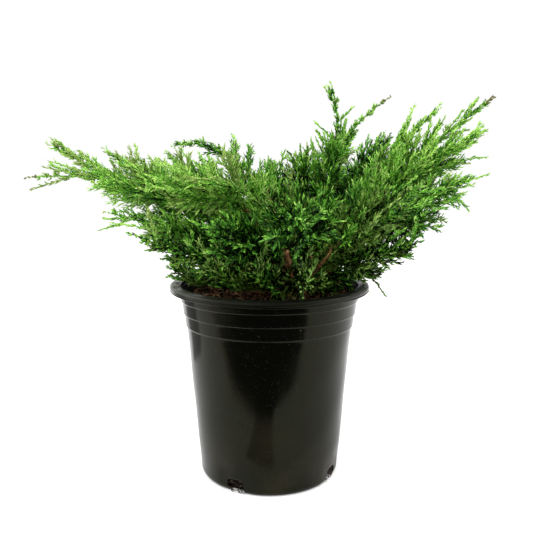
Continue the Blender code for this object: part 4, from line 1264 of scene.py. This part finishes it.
def shootArrays(shoots):
    root, out, face, forward, length, limb, share = (np.array(column) for column in zip(*shoots))
    full = limbValues("full", False)[limb.astype(int)]
    tapers = [np.interp(share, foliagePlan["taperPlaces"], foliagePlan[key]) for key in ("taper", "fullTaper")]
    length = length * slimmed(share, limb.astype(int))
    upright = limbValues("upright", foliagePlan["upright"])[limb.astype(int)]
    length = length * np.where(full, tapers[1], tapers[0]) * (1 - upright * np.clip(out[:, 2], 0, 1))
    under = limbValues("under", foliagePlan["below"])[limb.astype(int)]
    length = length * (1 - under * np.clip(-out[:, 2], 0, 1) * (share > 0.3))
    length = length * np.where(share < 0.85, limbValues("girth", 1.0)[limb.astype(int)], 1.0)
    bend = unitRows(forward) * foliagePlan["shootBow"]
    # shoots on low limbs turn up towards the light
    heights = limbValues("height", 0)[limb.astype(int)]
    bend[:, 2] += np.interp(heights, foliagePlan["lowHeights"], (foliagePlan["lowLift"], foliagePlan["shootLift"]))
    bend[:, 2] += limbValues("lift", 0.0)[limb.astype(int)]
    return dict(
        root=root, along=out - bend, bend=bend, face=face, length=length, limb=limb.astype(int),
        reach=share * 0.6, gain=np.full(len(length), 0.42), light=np.zeros(len(length)),
        breadth=np.interp(share, (0.45, 1.0), (1.0, 0.60)), inner=share < foliagePlan["greenLimb"],
        fine=np.interp(share, (0.5, 1.0), (1.0, 0.75)), olive=np.full(len(length), -1.0), stout=np.ones(len(length)),
    )


def strands(number, root, out, sideways, forward, length, bend, share, tone, breadth, fine, olive=False, stout=1.0):
    # shoots as arrays, from their roots, directions and lengths
    count = len(length)
    return dict(
        root=root, along=out - bend, bend=bend, face=unitRows(np.cross(sideways, forward)), length=length,
        limb=np.full(count, number), reach=share * 0.6, gain=np.full(count, 0.5), light=np.full(count, tone),
        breadth=np.full(count, breadth), inner=share < 0.3, fine=np.full(count, fine),
        olive=np.full(count, 1.0 if olive else -1.0), stout=np.full(count, stout),
    )


def leadersOf(paths):
    # leaders start along the limb's outer half and reach about as far as its tip
    draw = np.random.default_rng(31)
    rule = leaderRule
    groups = []
    for number, path in enumerate(paths):
        count = (mainLimbs + lowLimbs)[number].get("leaders", rule["usual"])
        share = np.array(rule["shares"][:count]) + draw.uniform(-0.03, 0.03, count)
        root, forward = pointsAt(path, share)
        sideways = roundStem(forward, draw.uniform(0, 2 * math.pi) + np.arange(count) * shootPlan["golden"])
        lean = np.radians(draw.uniform(*rule["leans"], count))[:, None]
        out = forward * np.cos(lean) + sideways * np.sin(lean)
        length = (1 - share) * pathLength(path) * rule["reach"] * draw.uniform(0.8, 1.05, count)
        length = np.clip(length, 0.020, rule["longest"])
        bend = forward * rule["bow"]
        groups.append(strands(number, root, out, sideways, forward, length, bend, share, 0, rule["breadth"], rule["fine"]))
    for plan in strandPlans:
        number = plan["foliage"] - 1
        share = np.array([plan["share"]])
        root, forward = pointsAt(paths[number], share)
        out = direction(plan["azimuth"], plan["rise"])[None]
        bend = vector([(0, 0, -plan.get("droop", 0.05))])
        length = np.array([plan["length"]])
        sideways = roundStem(forward, np.array([0.4]))
        tone = plan.get("tone", 0.0)
        breadth = plan.get("breadth", rule["breadth"])
        rest = (rule["fine"], plan.get("olive", False), plan.get("stout", 1.0))
        groups.append(strands(number, root, out, sideways, forward, length, bend, share, tone, breadth, *rest))
    return joined(groups)


def roundStem(forward, roll):
    # directions square to a stem, at these turns round it
    level = unitRows(np.cross(forward, (0, 0, 1)))
    above = np.cross(level, forward)
    return level * np.cos(roll)[:, None] + above * np.sin(roll)[:, None]


def uprightShoots(paths):
    draw = np.random.default_rng(71)
    rule = uprightRule
    groups = []
    for foliage in rule["foliages"]:
        count = rule["count"]
        share = np.linspace(rule["low"], rule["high"], count) + draw.uniform(-0.03, 0.0, count)
        root, forward = pointsAt(paths[foliage - 1], share)
        turns = draw.uniform(0, 360, count)
        rises = draw.uniform(*rule["rise"], count)
        out = np.array([direction(turn, rise) for turn, rise in zip(turns, rises)])
        sideways = roundStem(forward, draw.uniform(0, 2 * math.pi, count))
        bend = np.tile(vector((0, 0, 0.1)), (count, 1))
        length = draw.uniform(*rule["lengths"], count)
        groups.append(strands(foliage - 1, root, out, sideways, out, length, bend, share, rule["tone"], 0.55, 0.9))
    return joined(groups)


def basalShoots(paths):
    draw = np.random.default_rng(47)
    rule = basalRule
    groups = []
    for number, path in enumerate(paths):
        back = path[-1, 1] > 0.05
        count = rule["backCount"] if back else rule["count"]
        share = np.linspace(rule["low"], rule["backHigh"] if back else rule["high"], count)
        share = share + draw.uniform(-0.02, 0.02, count)
        root, forward = pointsAt(path, share)
        sideways = roundStem(forward, draw.uniform(0, 2 * math.pi, count))
        out = unitRows(forward * rule["forward"] + sideways * rule["sideways"] + vector((0, 0, rule["up"])))
        bend = np.tile(vector((0, 0, rule["bow"])), (count, 1))
        length = draw.uniform(*rule["lengths"], count)
        groups.append(strands(number, root, out, sideways, forward, length, bend, share, rule["tone"], 0.8, 1.0))
    return joined(groups)


def stemArrays(paths):
    # short side twigs straight on each limb's own stem, set round it by the golden angle
    groups = []
    draw = np.random.default_rng(5)
    for number, path in enumerate(paths):
        whole = pathLength(path)
        count = int(whole * 0.93 / 0.0042)
        share = 0.06 + (min(limbValues("end", 1.0)[number], 0.99) - 0.06) * (np.arange(count) + 0.5) / count
        root, forward = pointsAt(path, share)
        sideways = roundStem(forward, np.arange(count) * shootPlan["golden"] + number)
        slim = slimmed(share, number)
        angle = (np.radians(np.interp(share, (0.2, 1.0), (50, 24))) * slim)[:, None]
        out = unitRows(forward * np.cos(angle) + sideways * np.sin(angle))
        length = np.interp(share, (0.2, 0.6, 0.85, 1.0), (0.021, 0.022, 0.012, 0.006)) * draw.uniform(0.7, 1.15, count)
        under = np.clip(-out[:, 2], 0, 1) * (share > 0.3)
        length = length * slim * (1 - 0.6 * limbValues("under", foliagePlan["below"])[number] * under)
        length = length * limbValues("girth", 1.0)[number]
        bend = forward * 0.14
        groups.append(dict(
            root=root, along=out - bend, bend=bend, face=np.cross(sideways, forward), length=length,
            limb=np.full(count, number), reach=share * 0.75, gain=np.full(count, 0.2), light=np.zeros(count),
            breadth=np.ones(count), fine=np.interp(share, (0.5, 1.0), (1.0, 0.65)),
            olive=(draw.uniform(0, 1, count) < limbValues("olive", foliagePlan["olive"])[number]) * 1.0,
            stout=np.ones(count),
        ))
    return joined(groups)


def openness(groups):
    # the share of light that reaches each twig: less for each length of foliage above it, before it and beside it
    middles = []
    for twigs in groups:
        count = len(twigs["length"])
        middles.append(alongTwig(twigs, np.arange(count), np.full(count, 0.6))[0])
    places = np.concatenate(middles)
    cell = foliagePlan["lightCell"]
    index = tuple(((places - places.min(0)) / cell).astype(int).T)
    grid = np.zeros([values.max() + 1 for values in index])
    np.add.at(grid, index, np.concatenate([twigs["length"] for twigs in groups]))
    light = 0.0
    for axis, back, weight in lightSides:
        total = np.flip(np.cumsum(np.flip(grid, axis), axis), axis) if back else np.cumsum(grid, axis)
        light = light + weight * np.exp(-foliagePlan["blocking"] / cell**2 * (total - grid * 0.5)[index])
    return np.split(light, np.cumsum([len(rows) for rows in middles])[:-1])


def thinned(twigs, draw):
    # deep inside, where hardly any light comes, part of the branchlets are bare
    light, = openness([twigs])
    dark = light < np.quantile(light, foliagePlan["deepShare"])
    return kept(twigs, ~dark | (draw.uniform(0, 1, len(light)) > foliagePlan["deepBare"]))


def endsOf(twigs, paths):
    # the branchlets at the very end of the limbs whose leaders end in brown
    tips = np.array([path[-1] for path, brown in zip(paths, limbValues("brown", False)) if brown])
    place, _ = alongTwig(twigs, np.arange(len(twigs["length"])), np.full(len(twigs["length"]), 0.5))
    return np.linalg.norm(place[:, None] - tips[None], axis=-1).min(1) < foliagePlan["brownReach"]


def greenOf(twigs, light, tones, draw):
    # a number from dark to bright, which deals out the greens as painted light and shade: the light there, the limb's
    # tone, how near the tip it is, and some chance
    value = 1.05 * light + 0.88 * tones[twigs["limb"]] + 0.30 * twigs["reach"]
    glint = np.where(twigs["limb"] < len(mainLimbs), foliagePlan["glint"], foliagePlan["lowGlint"])
    return value + twigs["light"] + draw.normal(0, 1, len(value)) * glint


def makeFoliage(paths, lines, twigBark):
    shoots = []
    for number, path in enumerate(paths):
        limb = (mainLimbs + lowLimbs)[number]
        start = stemPlan["boughShare"] if number < len(mainLimbs) else stemPlan["leafless"]
        shoots += shootsOf(path, number, number, start, limb.get("spread", 1.0), lines)
        for seed in range(1, foliagePlan["seeds"]):
            shoots += shootsOf(path, number, number + 100 * seed, start, limb.get("spread", 1.0) * 0.85, lines)[:-1]
    print("juniper:", len(shoots), "shoots on", len(paths), "limbs")
    draw = np.random.default_rng(23)
    grown = joined([shootArrays(shoots), leadersOf(paths), uprightShoots(paths), basalShoots(paths)])
    shootTwigs = clearOfPot(kept(grown, grown["reach"] <= limbValues("end", 1.0)[grown["limb"]] * 0.6))
    shootTwigs["light"] = shootTwigs["light"] + draw.normal(0, 0.13, len(shootTwigs["length"]))
    chance = limbValues("olive", foliagePlan["olive"])[shootTwigs["limb"]]
    shootTwigs["olive"] = np.maximum(shootTwigs["olive"], (draw.uniform(0, 1, len(chance)) < chance) * 1.0)
    sideTwigs = clearOfPot(joined([grownFrom(shootTwigs, sideRule, draw), stemArrays(paths)]))
    sideTwigs["light"] = sideTwigs["light"] + draw.normal(0, 0.08, len(sideTwigs["length"]))
    branchlets = clearOfPot(joined([grownFrom(shootTwigs, tipRule, draw), grownFrom(sideTwigs, tipRule, draw)]))
    branchlets = thinned(branchlets, draw)
    print("juniper:", len(sideTwigs["length"]), "side twigs and", len(branchlets["length"]), "branchlets")
    groups = (shootTwigs, sideTwigs, branchlets)
    for twigs in groups:
        thick = np.where(twigs["limb"] < len(mainLimbs), 1.0, foliagePlan["lowThick"])
        twigs["thick"] = draw.uniform(0.85, 1.12, len(thick)) * twigs["stout"] * thick
    tones = np.array([limb["tone"] for limb in mainLimbs + lowLimbs])
    values = [greenOf(twigs, light, tones, draw) for twigs, light in zip(groups, openness(groups))]
    edges = np.quantile(values[2], greenShares)
    levels = [np.digitize(value, edges) for value in values]
    for twigs, level in zip(groups, levels):
        level[:] = np.where((twigs["olive"] > 0) & (level > 0), len(greens) + np.take(oliveLevels, level), level)
    levels[2][endsOf(branchlets, paths)] = len(greens) + len(olives) - 1
    # the darkest green fills two pieces: the limbs of the back have their own
    back = np.array([path[-1, 1] > 0 for path in paths])
    for twigs, level in zip(groups, levels):
        level[(level == 0) & back[twigs["limb"]]] = len(greens) + len(olives)
    nodes = [f"foliage_{k + 1:02d}" for k in range(len(paths))]
    total = 0
    colours = greens | olives | dict(foliageShadeBack=greens["foliageShade"])
    for number, (name, colour) in enumerate(colours.items()):
        own = levels[0] == number
        parts = [
            rodMesh(kept(shootTwigs, own & shootTwigs["inner"]), shootRings, foliagePlan["shootRadius"], 3, 0.3),
            rodMesh(kept(shootTwigs, own & ~shootTwigs["inner"]), shootRings, foliagePlan["shootRadius"], 3),
            rodMesh(kept(sideTwigs, levels[1] == number), twigRings, foliagePlan["twigRadius"]),
            rodMesh(kept(branchlets, levels[2] == number), branchletRings, foliagePlan["branchletRadius"]),
        ]
        if name == "foliageFresh":
            parts.append(greenStems(paths))
        points, triangles = joinParts(parts)
        total += len(triangles)
        mesh = meshOf(name, points, triangles=triangles, smooth=False)
        addPiece(name, mesh, leafMaterial(name, colour, leafGloss.get(name, 0.22)), nodes)
        print("juniper:", name, len(triangles), "triangles")
    print("juniper:", total, "triangles of foliage")
    makeTwigs(paths, shootTwigs, twigBark)


def stemLine(path, low, high):
    # a stretch of a limb's stem and its radius, a straight taper from the bough to the tip
    shares = np.linspace(low, high, 24)
    line, _ = pointsAt(path, shares)
    return line, np.interp(shares, (0.1, 1.0), (stemPlan["radius"] * 0.96, stemPlan["tipRadius"] * 0.8))


def greenStems(paths):
    # the outer half of every limb's stem, green as its shoots are, as triangles
    parts = []
    for path, end in zip(paths, limbValues("end", 1.0)):
        line, radii = stemLine(path, foliagePlan["greenLimb"], min(end, stemPlan["end"]))
        grid = tubeGrid(line, radii, 6, 0.0, 1)
        quads = tubeFaces(len(line), 6, 0)
        parts.append((grid.reshape(-1, 3), np.concatenate([quads[:, [0, 1, 2]], quads[:, [0, 2, 3]]])))
    return joinParts(parts)


def makeTwigs(paths, shootTwigs, material):
    # the brown stems inside the foliage and the brown foot of each inner shoot
    tubes = []
    for number, path in enumerate(paths):
        first = stemPlan["boughShare"] if number < len(mainLimbs) else stemPlan["leafless"]
        line, radii = stemLine(path, first - 0.004, foliagePlan["greenLimb"])
        tubes.append(tubeGrid(line, radii, 8, 0.10, number + 50))
    addPiece("stemBark", joinTubes("stemBark", tubes), material)
    inner = kept(shootTwigs, shootTwigs["inner"])
    reach = foliagePlan["barkShare"]
    inner |= dict(length=inner["length"] * reach, bend=inner["bend"] * reach)
    rings = ((0.0, 1.2), (0.25, 1.1), (0.5, 1.0), (0.75, 0.9))
    points, triangles = rodMesh(inner, rings, foliagePlan["shootRadius"], 4)
    mesh = meshOf("twigBark", points, triangles=triangles, smooth=True)
    addPiece("twigBark", mesh, material)


makeCamera()
makeStage()
print("juniper: camera, floor and light")
makePot()
print("juniper: pot")
makeCompost()
makeChips()
makeRoots(woodMaterial("rootSkin", (0.010, 0.006, 0.004), (0.060, 0.030, 0.016), 300.0))
print("juniper: compost")
limbPaths = [limbPath(limb) for limb in mainLimbs + lowLimbs]
limbLines = np.array([path[::2] for path in limbPaths])
trunkBark = woodMaterial("trunkBark", (0.170, 0.078, 0.030), (0.40, 0.215, 0.090), 160.0)
twigBark = woodMaterial("twigBark", (0.200, 0.092, 0.030), (0.42, 0.225, 0.085), 260.0)
makeTrunk(trunkBark)
makeBoughs(limbPaths, trunkBark)
print("juniper: trunk and boughs")
makeFoliage(limbPaths, limbLines, twigBark)
